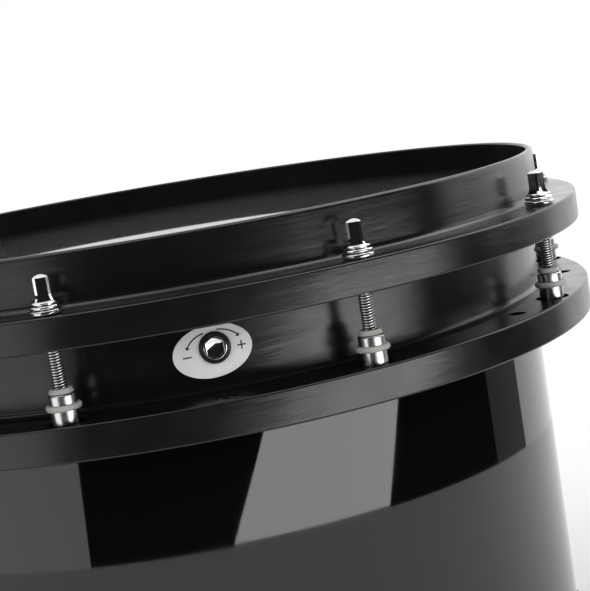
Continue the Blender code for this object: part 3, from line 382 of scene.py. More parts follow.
# %% [markdown]
# ## Light and reflections
#
# A black drum is seen by what it reflects. The photograph shows one large soft box to the right of the
# camera, black studio on both sides of it, a narrow strip light to the left, and a white backdrop.
# The panels stand in a ring round the drum and only show in glossy surfaces. They are emitting
# sheets bent from a grid, so the reflections are the same from every camera.

# %% Reflection panels
RING_R = 0.85
PANELS = {
    "soft_box": ((0, 44.6, 0.002, RING_R), (30, 63.8, 0.235, RING_R), 4.3),
    "black_left": ((-38, 0, 0.0, RING_R), (-38, 30, 0.236, RING_R), 0.012),
    "black_above": ((-32, 74, 0.2361, RING_R), (-32, 74, 0.62, RING_R), 0.012),
    "black_right": ((44.6, 88, 0.0, RING_R), (63.8, 88, 0.236, RING_R), 0.012),
    "grey_right": ((88, 106, 0.0, RING_R), (88, 106, 0.236, RING_R), 0.2),
    "bright_right": ((106, 150, 0.0, RING_R), (106, 150, 0.236, RING_R), 1.15),
    "bright_above_right": ((74, 150, 0.27, RING_R), (74, 150, 0.62, RING_R), 1.5),
    "soft_box_left": ((-80, -38, 0.0, RING_R), (-80, -32, 0.33, RING_R), 1.4),
    "black_above_left": ((-80, -32, 0.3301, RING_R), (-80, -32, 0.62, RING_R), 0.012),
    "black_far_left": ((-150, -80, 0.0, RING_R), (-150, -80, 0.62, RING_R), 0.012),
    "soft_box_back": ((150, 190, 0.01, RING_R), (150, 190, 0.24, RING_R), 3.0),
    "black_back_left": ((194, 210, 0.0, RING_R), (194, 210, 0.5, RING_R), 0.012),
    "black_over": ((-32, 74, 0.6201, RING_R), (-32, 74, 0.76, 0.55), 0.012),
    "overhead_right": ((15, 74, 0.7601, 0.55), (15, 74, 1.0, 0.3), 3.2),
    "overhead_far_right": ((74, 110, 0.7, 0.8), (74, 110, 1.0, 0.3), 3.2),
    "overhead_left": ((-60, -8, 0.7601, 0.55), (-60, -8, 1.0, 0.3), 2.3),
}


def panel_material(name, strength):
    material = bpy.data.materials.new(name)
    material.use_nodes = True
    nodes = material.node_tree.nodes
    nodes.clear()
    emission = nodes.new("ShaderNodeEmission")
    emission.inputs["Color"].default_value = (1, 1, 1, 1)
    emission.inputs["Strength"].default_value = strength
    output = nodes.new("ShaderNodeOutputMaterial")
    material.node_tree.links.new(emission.outputs["Emission"], output.inputs["Surface"])
    return material


def make_panel(name, lower, upper, strength):
    """A sheet between two arcs round the drum: (start degrees, end degrees, height, radius)."""
    rest()
    bpy.ops.mesh.primitive_grid_add(x_subdivisions=24, y_subdivisions=1, size=2.0)
    panel = named(name)
    for vertex in panel.data.vertices:
        along = (vertex.co.x + 1) / 2
        edge = upper if vertex.co.y > 0 else lower
        angle = math.radians(edge[0] + (edge[1] - edge[0]) * along)
        vertex.co = (edge[3] * math.sin(angle), -edge[3] * math.cos(angle), edge[2])
    panel.data.materials.append(panel_material(name + "_light", strength))
    panel.visible_camera = False
    panel.visible_diffuse = False
    panel.visible_shadow = False
    panel.visible_transmission = False
    return panel


for panel_name, (lower_edge, upper_edge, glow) in PANELS.items():
    make_panel(panel_name, lower_edge, upper_edge, glow)
print("reflection panels:", len(PANELS))

# %% Lamps and world
LAMPS = {
    "key_lamp": ((0.9, -1.3, 1.1), 0.9, 13.0),
    "fill_lamp": ((-1.2, -0.9, 0.9), 0.9, 7.0),
    "back_lamp": ((0.3, 1.5, 1.0), 0.9, 8.0),
}
AMBIENT = 0.55


def make_lamp(name, place, size, power):
    rest()
    bpy.ops.object.light_add(type="AREA", location=place)
    lamp = named(name)
    lamp.rotation_euler = (Vector((0, 0, 0.2)) - Vector(place)).to_track_quat("-Z", "Y").to_euler()
    lamp.data.size = size
    lamp.data.energy = power
    lamp.visible_camera = False
    lamp.visible_glossy = False
    return lamp


def make_world():
    """White to the camera and in reflections, and a softer ambient light on everything."""
    world = bpy.data.worlds.new("white_studio")
    bpy.context.scene.world = world
    world.use_nodes = True
    nodes = world.node_tree.nodes
    links = world.node_tree.links
    nodes.clear()
    path = nodes.new("ShaderNodeLightPath")
    seen = nodes.new("ShaderNodeMath")
    seen.operation = "MAXIMUM"
    links.new(path.outputs["Is Camera Ray"], seen.inputs[0])
    links.new(path.outputs["Is Glossy Ray"], seen.inputs[1])
    level = nodes.new("ShaderNodeMapRange")
    level.inputs["To Min"].default_value = AMBIENT
    level.inputs["To Max"].default_value = 1.0
    links.new(seen.outputs[0], level.inputs["Value"])
    background = nodes.new("ShaderNodeBackground")
    background.inputs["Color"].default_value = (1, 1, 1, 1)
    links.new(level.outputs["Result"], background.inputs["Strength"])
    output = nodes.new("ShaderNodeOutputWorld")
    links.new(background.outputs["Background"], output.inputs["Surface"])


for lamp_name, (lamp_place, lamp_size, lamp_power) in LAMPS.items():
    make_lamp(lamp_name, lamp_place, lamp_size, lamp_power)
make_world()
bpy.context.scene.view_settings.view_transform = "Standard"
print("lamps:", len(LAMPS))

# %% [markdown]
# ## The floor
#
# The floor is a pale sheet. Near the drum it is lit like any surface, so it keeps the drum's shadow,
# and further out it turns into the white of the backdrop.

# %% Floor
FLOOR_SIZE = 12.0
FLOOR_SHADOW_START = 0.24
FLOOR_SHADOW_END = 0.75


def floor_material():
    material = bpy.data.materials.new("pale_floor")
    material.use_nodes = True
    nodes = material.node_tree.nodes
    links = material.node_tree.links
    nodes.clear()
    place = nodes.new("ShaderNodeTexCoord")
    length = nodes.new("ShaderNodeVectorMath")
    length.operation = "LENGTH"
    links.new(place.outputs["Object"], length.inputs[0])
    far = nodes.new("ShaderNodeMapRange")
    far.interpolation_type = "SMOOTHSTEP"
    far.inputs["From Min"].default_value = FLOOR_SHADOW_START
    far.inputs["From Max"].default_value = FLOOR_SHADOW_END
    links.new(length.outputs["Value"], far.inputs["Value"])
    path = nodes.new("ShaderNodeLightPath")
    seen = nodes.new("ShaderNodeMath")
    seen.operation = "MAXIMUM"
    links.new(path.outputs["Is Camera Ray"], seen.inputs[0])
    links.new(path.outputs["Is Glossy Ray"], seen.inputs[1])
    share = nodes.new("ShaderNodeMath")
    share.operation = "MULTIPLY"
    links.new(far.outputs["Result"], share.inputs[0])
    links.new(seen.outputs[0], share.inputs[1])
    matt = nodes.new("ShaderNodeBsdfDiffuse")
    matt.inputs["Color"].default_value = (0.88, 0.88, 0.88, 1)
    white = nodes.new("ShaderNodeEmission")
    mix = nodes.new("ShaderNodeMixShader")
    links.new(share.outputs[0], mix.inputs["Fac"])
    links.new(matt.outputs[0], mix.inputs[1])
    links.new(white.outputs[0], mix.inputs[2])
    output = nodes.new("ShaderNodeOutputMaterial")
    links.new(mix.outputs[0], output.inputs["Surface"])
    return material


rest()
bpy.ops.mesh.primitive_plane_add(size=FLOOR_SIZE)
floor = named("studio_floor")
floor.data.materials.append(floor_material())
print("floor", FLOOR_SIZE, "m wide")

# %% [markdown]
# ## Finishes
#
# Each finish is one Principled shader with noise on Object coordinates. The castings are powder
# coated: a satin black with a very fine orange peel and faint cloudy patches. The shell is mirror
# gloss lacquer. Chrome has fine wipe marks, and the head is a woven film.

# %% Material helpers


def new_finish(name, color, roughness, metallic=0.0):
    material = bpy.data.materials.new(name)
    material.use_nodes = True
    shader = material.node_tree.nodes["Principled BSDF"]
    shader.inputs["Base Color"].default_value = (*color, 1.0)
    shader.inputs["Roughness"].default_value = roughness
    shader.inputs["Metallic"].default_value = metallic
    return material, shader


def object_place(material):
    return material.node_tree.nodes.new("ShaderNodeTexCoord").outputs["Object"]


def noise(material, scale, detail=3.0, stretch=(1, 1, 1)):
    nodes = material.node_tree.nodes
    links = material.node_tree.links
    mapping = nodes.new("ShaderNodeMapping")
    mapping.inputs["Scale"].default_value = stretch
    links.new(object_place(material), mapping.inputs["Vector"])
    texture = nodes.new("ShaderNodeTexNoise")
    texture.inputs["Scale"].default_value = scale
    texture.inputs["Detail"].default_value = detail
    links.new(mapping.outputs["Vector"], texture.inputs["Vector"])
    return texture.outputs["Fac"]


def ranged(material, value, low, high, start=0.3, end=0.7):
    node = material.node_tree.nodes.new("ShaderNodeMapRange")
    node.inputs["From Min"].default_value = start
    node.inputs["From Max"].default_value = end
    node.inputs["To Min"].default_value = low
    node.inputs["To Max"].default_value = high
    material.node_tree.links.new(value, node.inputs["Value"])
    return node.outputs["Result"]


def tinted(material, value, dark, light):
    """A colour between two, by a value from 0 to 1."""
    mix = material.node_tree.nodes.new("ShaderNodeMix")
    mix.data_type = "RGBA"
    mix.inputs["A"].default_value = (*dark, 1.0)
    mix.inputs["B"].default_value = (*light, 1.0)
    material.node_tree.links.new(value, mix.inputs["Factor"])
    return mix.outputs["Result"]


def bumped(material, shader, height, distance, strength=1.0, after=None):
    node = material.node_tree.nodes.new("ShaderNodeBump")
    node.inputs["Distance"].default_value = distance
    node.inputs["Strength"].default_value = strength
    material.node_tree.links.new(height, node.inputs["Height"])
    if after:
        material.node_tree.links.new(after, node.inputs["Normal"])
    material.node_tree.links.new(node.outputs["Normal"], shader.inputs["Normal"])
    return node.outputs["Normal"]


def set_from(material, shader, socket, value):
    material.node_tree.links.new(value, shader.inputs[socket])


# %% Black finishes


def make_powder_coat():
    material, shader = new_finish("satin_black_powder_coat", (0.0045, 0.0045, 0.0048), 0.24)
    clouds = noise(material, 55.0, 4.0)
    set_from(material, shader, "Roughness", ranged(material, clouds, 0.2, 0.28))
    turning_marks = noise(material, 38.0, 3.0, (1.0, 1.0, 7.0))
    wavy = bumped(material, shader, turning_marks, 0.08 * MM)
    peel = noise(material, 900.0, 2.0)
    bumped(material, shader, peel, 0.03 * MM, 0.6, wavy)
    return material


def make_lacquer():
    material, shader = new_finish("gloss_black_lacquer", (0.002, 0.002, 0.0022), 0.03)
    shader.inputs["Coat Weight"].default_value = 0.15
    shader.inputs["Coat Roughness"].default_value = 0.02
    haze = noise(material, 35.0, 3.0)
    set_from(material, shader, "Roughness", ranged(material, haze, 0.02, 0.045))
    return material


def make_woven_film():
    """Two crossed sets of threads pressed under a clear film."""
    material, shader = new_finish("black_woven_film", (0.012, 0.012, 0.012), 0.5)
    nodes = material.node_tree.nodes
    links = material.node_tree.links
    threads = []
    for direction in ("X", "Y"):
        wave = nodes.new("ShaderNodeTexWave")
        wave.bands_direction = direction
        wave.wave_profile = "SIN"
        wave.inputs["Scale"].default_value = 420.0
        wave.inputs["Distortion"].default_value = 0.4
        wave.inputs["Detail"].default_value = 1.0
        links.new(object_place(material), wave.inputs["Vector"])
        threads.append(wave.outputs["Fac"])
    cross = nodes.new("ShaderNodeMath")
    cross.operation = "MULTIPLY"
    links.new(threads[0], cross.inputs[0])
    links.new(threads[1], cross.inputs[1])
    set_from(material, shader, "Base Color",
             tinted(material, cross.outputs[0], (0.007, 0.007, 0.007), (0.03, 0.03, 0.031)))
    shader.inputs["Specular IOR Level"].default_value = 0.035
    shader.inputs["Coat Weight"].default_value = 1.0
    shader.inputs["Coat Roughness"].default_value = 0.02
    bumped(material, shader, cross.outputs[0], 0.02 * MM, 0.25)
    return material


def make_black_nylon():
    material, shader = new_finish("black_nylon", (0.004, 0.004, 0.004), 0.32)
    bumped(material, shader, noise(material, 1400.0, 2.0), 0.03 * MM, 0.5)
    set_from(material, shader, "Roughness", ranged(material, noise(material, 300.0), 0.28, 0.38))
    return material


POWDER_COAT = make_powder_coat()
LACQUER = make_lacquer()
WOVEN_FILM = make_woven_film()
BLACK_NYLON = make_black_nylon()
print("black finishes made")

# %% Bright finishes


def make_chrome(name, color, roughness, spread):
    material, shader = new_finish(name, color, roughness, 1.0)
    wipes = noise(material, 260.0, 4.0, (1.0, 1.0, 0.25))
    set_from(material, shader, "Roughness", ranged(material, wipes, roughness, roughness + spread))
    bumped(material, shader, noise(material, 700.0, 2.0), 0.01 * MM, 0.25)
    return material


def make_off_white_nylon():
    material, shader = new_finish("off_white_nylon", (0.32, 0.32, 0.3), 0.45)
    shader.inputs["Subsurface Weight"].default_value = 0.15
    shader.inputs["Subsurface Radius"].default_value = (1.0 * MM, 1.0 * MM, 0.9 * MM)
    shade = noise(material, 180.0)
    set_from(material, shader, "Base Color",
             tinted(material, ranged(material, shade, 0.0, 1.0), (0.27, 0.27, 0.255), (0.36, 0.36, 0.345)))
    bumped(material, shader, noise(material, 1200.0, 2.0), 0.03 * MM, 0.4)
    return material


def make_label_sheet():
    material, shader = new_finish("light_grey_label", (0.84, 0.84, 0.83), 0.38)
    wear = noise(material, 220.0, 4.0)
    set_from(material, shader, "Base Color",
             tinted(material, ranged(material, wear, 0.0, 1.0), (0.8, 0.8, 0.79), (0.88, 0.88, 0.87)))
    set_from(material, shader, "Roughness", ranged(material, noise(material, 500.0), 0.32, 0.46))
    return material


def make_print_ink():
    material, shader = new_finish("black_print", (0.01, 0.01, 0.01), 0.5)
    set_from(material, shader, "Roughness", ranged(material, noise(material, 900.0), 0.42, 0.6))
    return material


def make_brushed(name, color, roughness):
    """Metal with brush lines along Y."""
    material, shader = new_finish(name, color, roughness, 1.0)
    lines = noise(material, 500.0, 3.0, (1.0, 0.04, 1.0))
    set_from(material, shader, "Roughness", ranged(material, lines, roughness - 0.07, roughness + 0.1))
    bumped(material, shader, lines, 0.01 * MM, 0.3)
    return material


def make_gut():
    material, shader = new_finish("synthetic_gut", (0.55, 0.5, 0.36), 0.4)
    nodes = material.node_tree.nodes
    wave = nodes.new("ShaderNodeTexWave")
    wave.bands_direction = "DIAGONAL"
    wave.inputs["Scale"].default_value = 260.0
    wave.inputs["Distortion"].default_value = 0.6
    material.node_tree.links.new(object_place(material), wave.inputs["Vector"])
    set_from(material, shader, "Base Color",
             tinted(material, wave.outputs["Fac"], (0.4, 0.35, 0.23), (0.62, 0.57, 0.43)))
    bumped(material, shader, wave.outputs["Fac"], 0.15 * MM, 0.6)
    return material


def make_maple():
    """The bare ply inside the shell, with its grain along the drum."""
    material, shader = new_finish("bare_maple", (0.55, 0.38, 0.22), 0.55)
    grain = noise(material, 90.0, 6.0, (1.0, 1.0, 0.08))
    set_from(material, shader, "Base Color",
             tinted(material, ranged(material, grain, 0.0, 1.0), (0.42, 0.27, 0.15), (0.63, 0.46, 0.28)))
    return material


CHROME = make_chrome("polished_chrome", (0.82, 0.82, 0.83), 0.05, 0.07)
TUBE_CHROME = make_chrome("satin_chrome_tube", (0.66, 0.66, 0.66), 0.24, 0.06)
SATIN_CHROME = make_chrome("satin_chrome", (0.68, 0.68, 0.68), 0.16, 0.12)
THREAD_STEEL = make_chrome("threaded_steel", (0.62, 0.61, 0.6), 0.2, 0.1)
# Near-black steel that paints shade into the roots of the threads.
THREAD_ROOT_SHADE = make_chrome("painted_shade_thread_root", (0.03, 0.028, 0.026), 0.3, 0.15)
OFF_WHITE_NYLON = make_off_white_nylon()
LABEL_SHEET = make_label_sheet()
PRINT_INK = make_print_ink()
ALUMINIUM = make_brushed("extruded_aluminium", (0.72, 0.72, 0.73), 0.34)
NICKEL_STEEL = make_brushed("nickel_steel", (0.6, 0.59, 0.57), 0.25)
GUT = make_gut()
MAPLE = make_maple()
print("bright finishes made")


def dress(piece, material, body, slot=None, replaces=()):
    """Gives a finished piece its material and its body, and hides the CAD nodes that it stands for."""
    if material:
        piece.data.materials.clear()
        piece.data.materials.append(material)
    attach(piece, body)
    if replaces:
        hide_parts(*replaces)
    return piece


# %% [markdown]
# ## The hoops
#
# A marching hoop is one aluminium casting. Its thin collar is the rim that the sticks meet, a fillet
# runs round the collar's foot, and the heavy flange takes the rods. One cross-section, spun round,
# gives all of that, and the rods' holes are drilled afterwards.

# %% Hoops
HOOP_WEB = 2.8 * MM
COLLAR_DRAFT = 0.35 * MM
RECESS_R = FLESH_R + 0.6 * MM
ROD_HOLE_R = 3.1 * MM


def drill(piece, radius, low, high, places, sides=32):
    """Upright holes at several places, cut in one go."""
    cutters = [cylinder(f"drill_{index}", radius, low, high, place, "Z", sides)
               for index, place in enumerate(places)]
    return cut(piece, join("drill", *cutters))


def make_hoop(name):
    web = FLANGE_TOP - HOOP_WEB
    corners = [(COLLAR_INNER_R, RIM_TOP, 0.9 * MM), (COLLAR_R, RIM_TOP, 1.3 * MM),
               (COLLAR_R + COLLAR_DRAFT, FLANGE_TOP, 2.7 * MM), (FLANGE_R, FLANGE_TOP, 0.8 * MM),
               (FLANGE_R, FLANGE_BOTTOM, 0.8 * MM), (RECESS_R, FLANGE_BOTTOM, 0.5 * MM),
               (RECESS_R, web, 0.8 * MM), (COLLAR_INNER_R, web, 0.6 * MM)]
    hoop = spun(name, rounded(corners))
    places = [(x, y) for _, _, x, y in rod_places()]
    return drill(hoop, ROD_HOLE_R, FLANGE_BOTTOM - MM, FLANGE_TOP + MM, places)


GATE_HALF = 22.0 * MM
STRAND_Z = sum(corner.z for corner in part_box("snare_strands")) / 2
GATE_LOW = STRAND_Z - 4.0 * MM
GATE_HIGH = STRAND_Z + 4.0 * MM

batter_hoop = make_hoop("batter_hoop_casting")
snare_hoop = copy_of(batter_hoop, "snare_hoop_casting", TURN_OVER)
for side in (-1, 1):
    gate = box("gate", (-GATE_HALF, side * COLLAR_R - 8 * MM, GATE_LOW),
               (GATE_HALF, side * COLLAR_R + 8 * MM, GATE_HIGH))
    cut(snare_hoop, gate)
dress(smooth(batter_hoop), POWDER_COAT, "drum", "satin_black_casting", ["batter_hoop"])
dress(smooth(snare_hoop), POWDER_COAT, "drum", "satin_black_casting", ["snare_hoop"])
print("hoops:", len(batter_hoop.data.polygons), "faces each")

# %% [markdown]
# ## The edge rings
#
# Each ring is one casting too: the bearing edge that the head lies on, the upright band, and the
# flange that holds the lug tubes. In the batter side's flange every tube stands in a shallow round
# recess, four plain holes take the carrier, and a black socket screw sits at the front.

# %% Edge rings
BEARING_SET = 1.4 * MM
SHELL_CLEARANCE = 0.3 * MM
SHELL_SHOULDER = SHELL_TOP + SHELL_CLEARANCE
RECESS_DEPTH = 4.0 * MM
TUBE_RECESS_R = 7.3 * MM
TUBE_SOCKET_R = 5.6 * MM
SOCKET_FLOOR = 3.1 * MM
CARRIER_CIRCLE_R = ROD_CIRCLE_R - 2.7 * MM
CARRIER_HOLE_R = 3.75 * MM
CARRIER_ANGLES = (-75.0, -44.0, 44.0, 75.0)
SOCKET_SCREW_R = 2.6 * MM
ADJUSTER_Z = sum(corner.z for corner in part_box("adjuster_bushing_front")) / 2
ADJUSTER_BORE_R = 5.5 * MM


def edge_ring(name):
    inner_bevel = BAND_R - BEARING_SET - BAND_INNER_R
    corners = [(BAND_R - BEARING_SET, EDGE_TOP, 0.4 * MM), (BAND_R, EDGE_TOP - BEARING_SET, 0.5 * MM),
               (BAND_R, LUG_TOP, 2.5 * MM), (LUG_R, LUG_TOP, 0.8 * MM), (LUG_R, LUG_BOTTOM, 0.8 * MM),
               (SHELL_R + SHELL_CLEARANCE, LUG_BOTTOM, 0.4 * MM),
               (SHELL_R + SHELL_CLEARANCE, SHELL_SHOULDER, 0.3 * MM),
               (BAND_INNER_R, SHELL_SHOULDER, 0.4 * MM),
               (BAND_INNER_R, EDGE_TOP - inner_bevel, 0.8 * MM)]
    return spun(name, rounded(corners))


def on_circle(radius, degrees):
    angle = math.radians(degrees)
    return radius * math.sin(angle), -radius * math.cos(angle)


upper_ring = edge_ring("upper_ring_casting")
lower_ring = copy_of(upper_ring, "lower_ring_casting", TURN_OVER)
tube_places = [(x, y) for _, _, x, y in rod_places()]
carrier_places = [on_circle(CARRIER_CIRCLE_R, degrees) for degrees in CARRIER_ANGLES]
drill(upper_ring, TUBE_RECESS_R, LUG_TOP - RECESS_DEPTH, LUG_TOP + MM, tube_places, 48)
drill(upper_ring, TUBE_SOCKET_R, LUG_BOTTOM + SOCKET_FLOOR, LUG_TOP, tube_places, 40)
drill(lower_ring, TUBE_SOCKET_R, 2 * MIDDLE_Z - LUG_TOP - MM, 2 * MIDDLE_Z - LUG_BOTTOM - SOCKET_FLOOR,
      tube_places, 40)
drill(upper_ring, CARRIER_HOLE_R, LUG_BOTTOM - MM, LUG_TOP + MM, carrier_places, 40)
drill(upper_ring, 4.5 * MM, LUG_TOP - 2.5 * MM, LUG_TOP + MM, [on_circle(ROD_CIRCLE_R, 0.0)], 40)
for side in (-1, 1):
    start, end = sorted((side * (BAND_INNER_R - 4 * MM), side * (BAND_R + MM)))
    cut(upper_ring, cylinder("adjuster_drill", ADJUSTER_BORE_R, start, end, (0, ADJUSTER_Z), "Y", 40))
BED_HALF = 35.0 * MM
BED_DEPTH = 1.2 * MM
for side in (-1, 1):
    crest = 2 * MIDDLE_Z - EDGE_TOP
    bed = box("snare_bed", (-BED_HALF, side * BAND_R - 12 * MM, crest - MM),
              (BED_HALF, side * BAND_R + 12 * MM, crest + BED_DEPTH))
    cut(lower_ring, bed)
dress(smooth(upper_ring), POWDER_COAT, "drum", "satin_black_casting", ["upper_edge_ring"])
dress(smooth(lower_ring), POWDER_COAT, "drum", "satin_black_casting", ["lower_edge_ring"])
print("edge rings:", len(upper_ring.data.polygons), "and", len(lower_ring.data.polygons), "faces")

# %% Front socket screw
screw_top = LUG_TOP - 0.5 * MM
screw_points = rounded([(0.0, screw_top, 0), (SOCKET_SCREW_R + 0.9 * MM, screw_top, 0.5 * MM),
                        (SOCKET_SCREW_R + 0.9 * MM, LUG_TOP - 2.4 * MM, 0),
                        (0.0, LUG_TOP - 2.4 * MM, 0)])
front_screw = spun("flange_socket_screw", screw_points, False, 48)
cut(front_screw, cylinder("key_socket", 1.6 * MM, screw_top - 1.2 * MM, screw_top + MM, (0, 0), "Z", 6))
front_screw.data.transform(Matrix.Translation((*on_circle(ROD_CIRCLE_R, 0.0), 0.0)))
dress(smooth(front_screw), BLACK_NYLON, "drum")
print("front screw at", [round(value, 4) for value in on_circle(ROD_CIRCLE_R, 0.0)])

# %% [markdown]
# ## Shell and vent
#
# The shell is a plain tube of wood ply. Outside it is lacquered to a mirror, inside it is bare, and a
# chromed eyelet lets the air out.

# %% Shell
SHELL_WALL = 5.0 * MM
VENT_R = 4.5 * MM
VENT_SLEEVE_R = 6.1 * MM
VENT_FLANGE_R = 9.0 * MM
VENT_FLANGE_DEPTH = 1.6 * MM

inner_r = SHELL_R - SHELL_WALL
shell = spun("lacquered_shell", rounded([
    (inner_r, SHELL_TOP, 0.5 * MM), (SHELL_R, SHELL_TOP, 0.5 * MM),
    (SHELL_R, SHELL_BOTTOM, 0.5 * MM), (inner_r, SHELL_BOTTOM, 0.5 * MM)], 3), True, 320)
cut(shell, cylinder("vent_drill", VENT_SLEEVE_R + 0.2 * MM, inner_r - 5 * MM, SHELL_R + 5 * MM,
                    (0, MIDDLE_Z), "X", 40))
dress(smooth(shell), LACQUER, "drum", "gloss_black_lacquer", ["shell"])
shell.data.materials.append(MAPLE)
for face in shell.data.polygons:
    if Vector(face.center[:2]).length < SHELL_R - 0.6 * SHELL_WALL:
        face.material_index = 1
print("shell:", len(shell.data.polygons), "faces")

# %% Vent eyelet
seat = SHELL_R + SEAT_GAP
vent = spun("vent_eyelet", rounded([
    (VENT_R, seat + VENT_FLANGE_DEPTH, 0.7 * MM), (VENT_FLANGE_R, seat + VENT_FLANGE_DEPTH, 1.0 * MM),
    (VENT_FLANGE_R, seat, 0.2 * MM), (VENT_SLEEVE_R, seat, 0),
    (VENT_SLEEVE_R, inner_r - 1.5 * MM, 0.3 * MM), (VENT_R, inner_r - 1.5 * MM, 0.3 * MM)]), True, 64)
vent.data.transform(Matrix.Translation((0, 0, MIDDLE_Z)) @ Matrix.Rotation(math.pi / 2, 4, "Y"))
dress(smooth(vent), CHROME, "drum", "chrome", ["vent_grommet"])
print("vent at", round(seat, 4), "m")

# %% [markdown]
# ## Heads
#
# A marching head is a woven laminate, pulled over the bearing edge and crimped into an aluminium hoop.
# The film bends softly at the edge, so its cross-section has an arc there.

# %% Heads
FILM = 0.4 * MM
FILM_CORNER = 1.0 * MM
SKIRT = 13.8 * MM
HEAD_RINGS = (0.0, 0.4, 0.8)


def make_head(name):
    under = HEAD_Z - FILM
    corners = [(share * HEAD_R, HEAD_Z, 0) for share in HEAD_RINGS]
    corners += [(HEAD_R, HEAD_Z, FILM_CORNER), (HEAD_R, HEAD_Z - SKIRT, 0),
                (HEAD_R - FILM, HEAD_Z - SKIRT, 0), (HEAD_R - FILM, under, FILM_CORNER - FILM)]
    corners += [(share * HEAD_R, under, 0) for share in reversed(HEAD_RINGS)]
    return spun(name, rounded(corners, 5), False)


batter_head = make_head("batter_head_weave")
snare_head = copy_of(batter_head, "snare_head_weave", TURN_OVER)
dress(smooth(batter_head), WOVEN_FILM, "drum", "black_woven_head", ["batter_head_film"])
dress(smooth(snare_head), WOVEN_FILM, "drum", "black_woven_head", ["snare_head_film"])

flesh_inner = HEAD_R + 0.3 * MM
flesh_hoop = spun("batter_flesh_ring", rounded([
    (flesh_inner, FLESH_TOP, MM), (FLESH_R, FLESH_TOP, MM), (FLESH_R, FLESH_BOTTOM, MM),
    (flesh_inner, FLESH_BOTTOM, MM)]))
snare_flesh = copy_of(flesh_hoop, "snare_flesh_ring", TURN_OVER)
dress(smooth(flesh_hoop), ALUMINIUM, "drum", "aluminium", ["batter_flesh_hoop"])
dress(smooth(snare_flesh), ALUMINIUM, "drum", "aluminium", ["snare_flesh_hoop"])
print("heads and flesh hoops made")

# %% [markdown]
# ## Tension rods
#
# A key rod has a square head for the drum key, slightly domed, whose corners flare out into its
# flange, then a stack of washers, and a long thread. One rod is modelled about its own axis, with
# zero at the hoop's flange, and copied. The thread is a grid rolled into a tube: a vertex's radius
# follows a screw line.

# %% One tension rod
KEY_ROWS = [
    (5.2, 3.55, 3.1, 0.45), (5.6, 3.3, 2.95, 0.6), (6.2, 3.08, 2.87, 0.72), (7.0, 2.92, 2.85, 0.82),
    (8.1, 2.85, 2.85, 0.85), (14.1, 2.85, 2.85, 0.85), (14.75, 2.25, 2.25, 0.65),
    (15.05, 1.5, 1.5, 0.45), (15.25, 0.8, 0.8, 0.25), (15.3, 0.3, 0.3, 0.1),
]
THREAD_R = 2.75 * MM
THREAD_DEPTH = 0.62 * MM
THREAD_PITCH = 1.058 * MM
THREAD_PROFILE = ((0.0, THREAD_DEPTH), (0.24, 0.1 * MM), (0.5, 0.0), (0.76, 0.1 * MM))
THREAD_SIDES = 24
THREAD_TOP = -1.0 * MM
THREAD_END = ROD_END - FLANGE_TOP


def make_key_head():
    """A chamfered square drawn up through rows of (height, corner, side middle, chamfer) in mm."""
    def place(column, row):
        height, corner, middle, chamfer = KEY_ROWS[row]
        side, step = divmod(column, 3)
        spot = Vector([(corner, chamfer - corner), (middle, 0.0), (corner, corner - chamfer)][step])
        spot = Matrix.Rotation(side * math.pi / 2, 2) @ spot
        return Vector((spot.x, spot.y, height)) * MM

    return smooth(rolled("key_head", 12, len(KEY_ROWS) - 1, place), 30.0)


def make_thread():
    """A tube whose rows climb one pitch a turn, so that each meets the next one."""
    turns = math.ceil((THREAD_TOP - THREAD_END) / THREAD_PITCH) + 1

    def place(column, row):
        turn = column / THREAD_SIDES
        whole, part = divmod(row, len(THREAD_PROFILE))
        share, depth = THREAD_PROFILE[part]
        height = THREAD_END + THREAD_PITCH * (whole + share + turn - 1)
        if not THREAD_END < height < THREAD_TOP:
            height = min(max(height, THREAD_END), THREAD_TOP)
            depth = THREAD_DEPTH
        angle = 2 * math.pi * turn
        radius = THREAD_R - depth
        return Vector((radius * math.cos(angle), radius * math.sin(angle), height))

    thread = smooth(rolled("thread", THREAD_SIDES, turns * len(THREAD_PROFILE), place), 40.0)
    thread.data.materials.append(THREAD_STEEL)
    thread.data.materials.append(THREAD_ROOT_SHADE)
    # Faces deep in the roots take the near-black steel: painted shade between the thread's flanks.
    for face in thread.data.polygons:
        if Vector(face.center[:2]).length < THREAD_R - 0.25 * MM:
            face.material_index = 1
    return thread


def make_rod_flange():
    """The rod's own flange, the groove under it and the plain neck in the hoop's hole."""
    corners = [(0.0, 5.3 * MM, 0), (4.9 * MM, 5.3 * MM, 0.2 * MM), (5.4 * MM, 4.9 * MM, 0.2 * MM),
               (5.4 * MM, 4.3 * MM, 0.25 * MM), (3.8 * MM, 4.3 * MM, 0), (3.8 * MM, 3.73 * MM, 0),
               (THREAD_R, 3.73 * MM, 0), (THREAD_R, -1.5 * MM, 0), (0.0, -1.5 * MM, 0)]
    return smooth(spun("rod_flange", rounded(corners), False, 48))


def make_washer(name, radius, low, high, bore=3.0 * MM):
    corners = [(bore, high, 0.2 * MM), (radius, high, 0.45 * MM), (radius, low, 0.45 * MM),
               (bore, low, 0.2 * MM)]
    return smooth(spun(name, rounded(corners, 3), True, 48))


key_head = make_key_head()
rod_flange = make_rod_flange()
thread = make_thread()
for part in (key_head, rod_flange):
    part.data.materials.append(CHROME)
shank_pattern = join("shank_pattern", rod_flange, thread)
upper_washer = make_washer("upper_washer", 6.0 * MM, 2.5 * MM, 3.7 * MM)
upper_washer.data.materials.append(CHROME)
lower_washer = make_washer("lower_washer", 6.3 * MM, 0.35 * MM, 2.05 * MM)
lower_washer.data.materials.append(SATIN_CHROME)
washer_pattern = join("washer_pattern", upper_washer, lower_washer)
print("one rod:", len(shank_pattern.data.polygons) + len(key_head.data.polygons), "faces")

# %% Twenty tension rods
KEY_TURNS = (-29, -24, -44, 52, -8, 31, -20, 66, 5, 19)

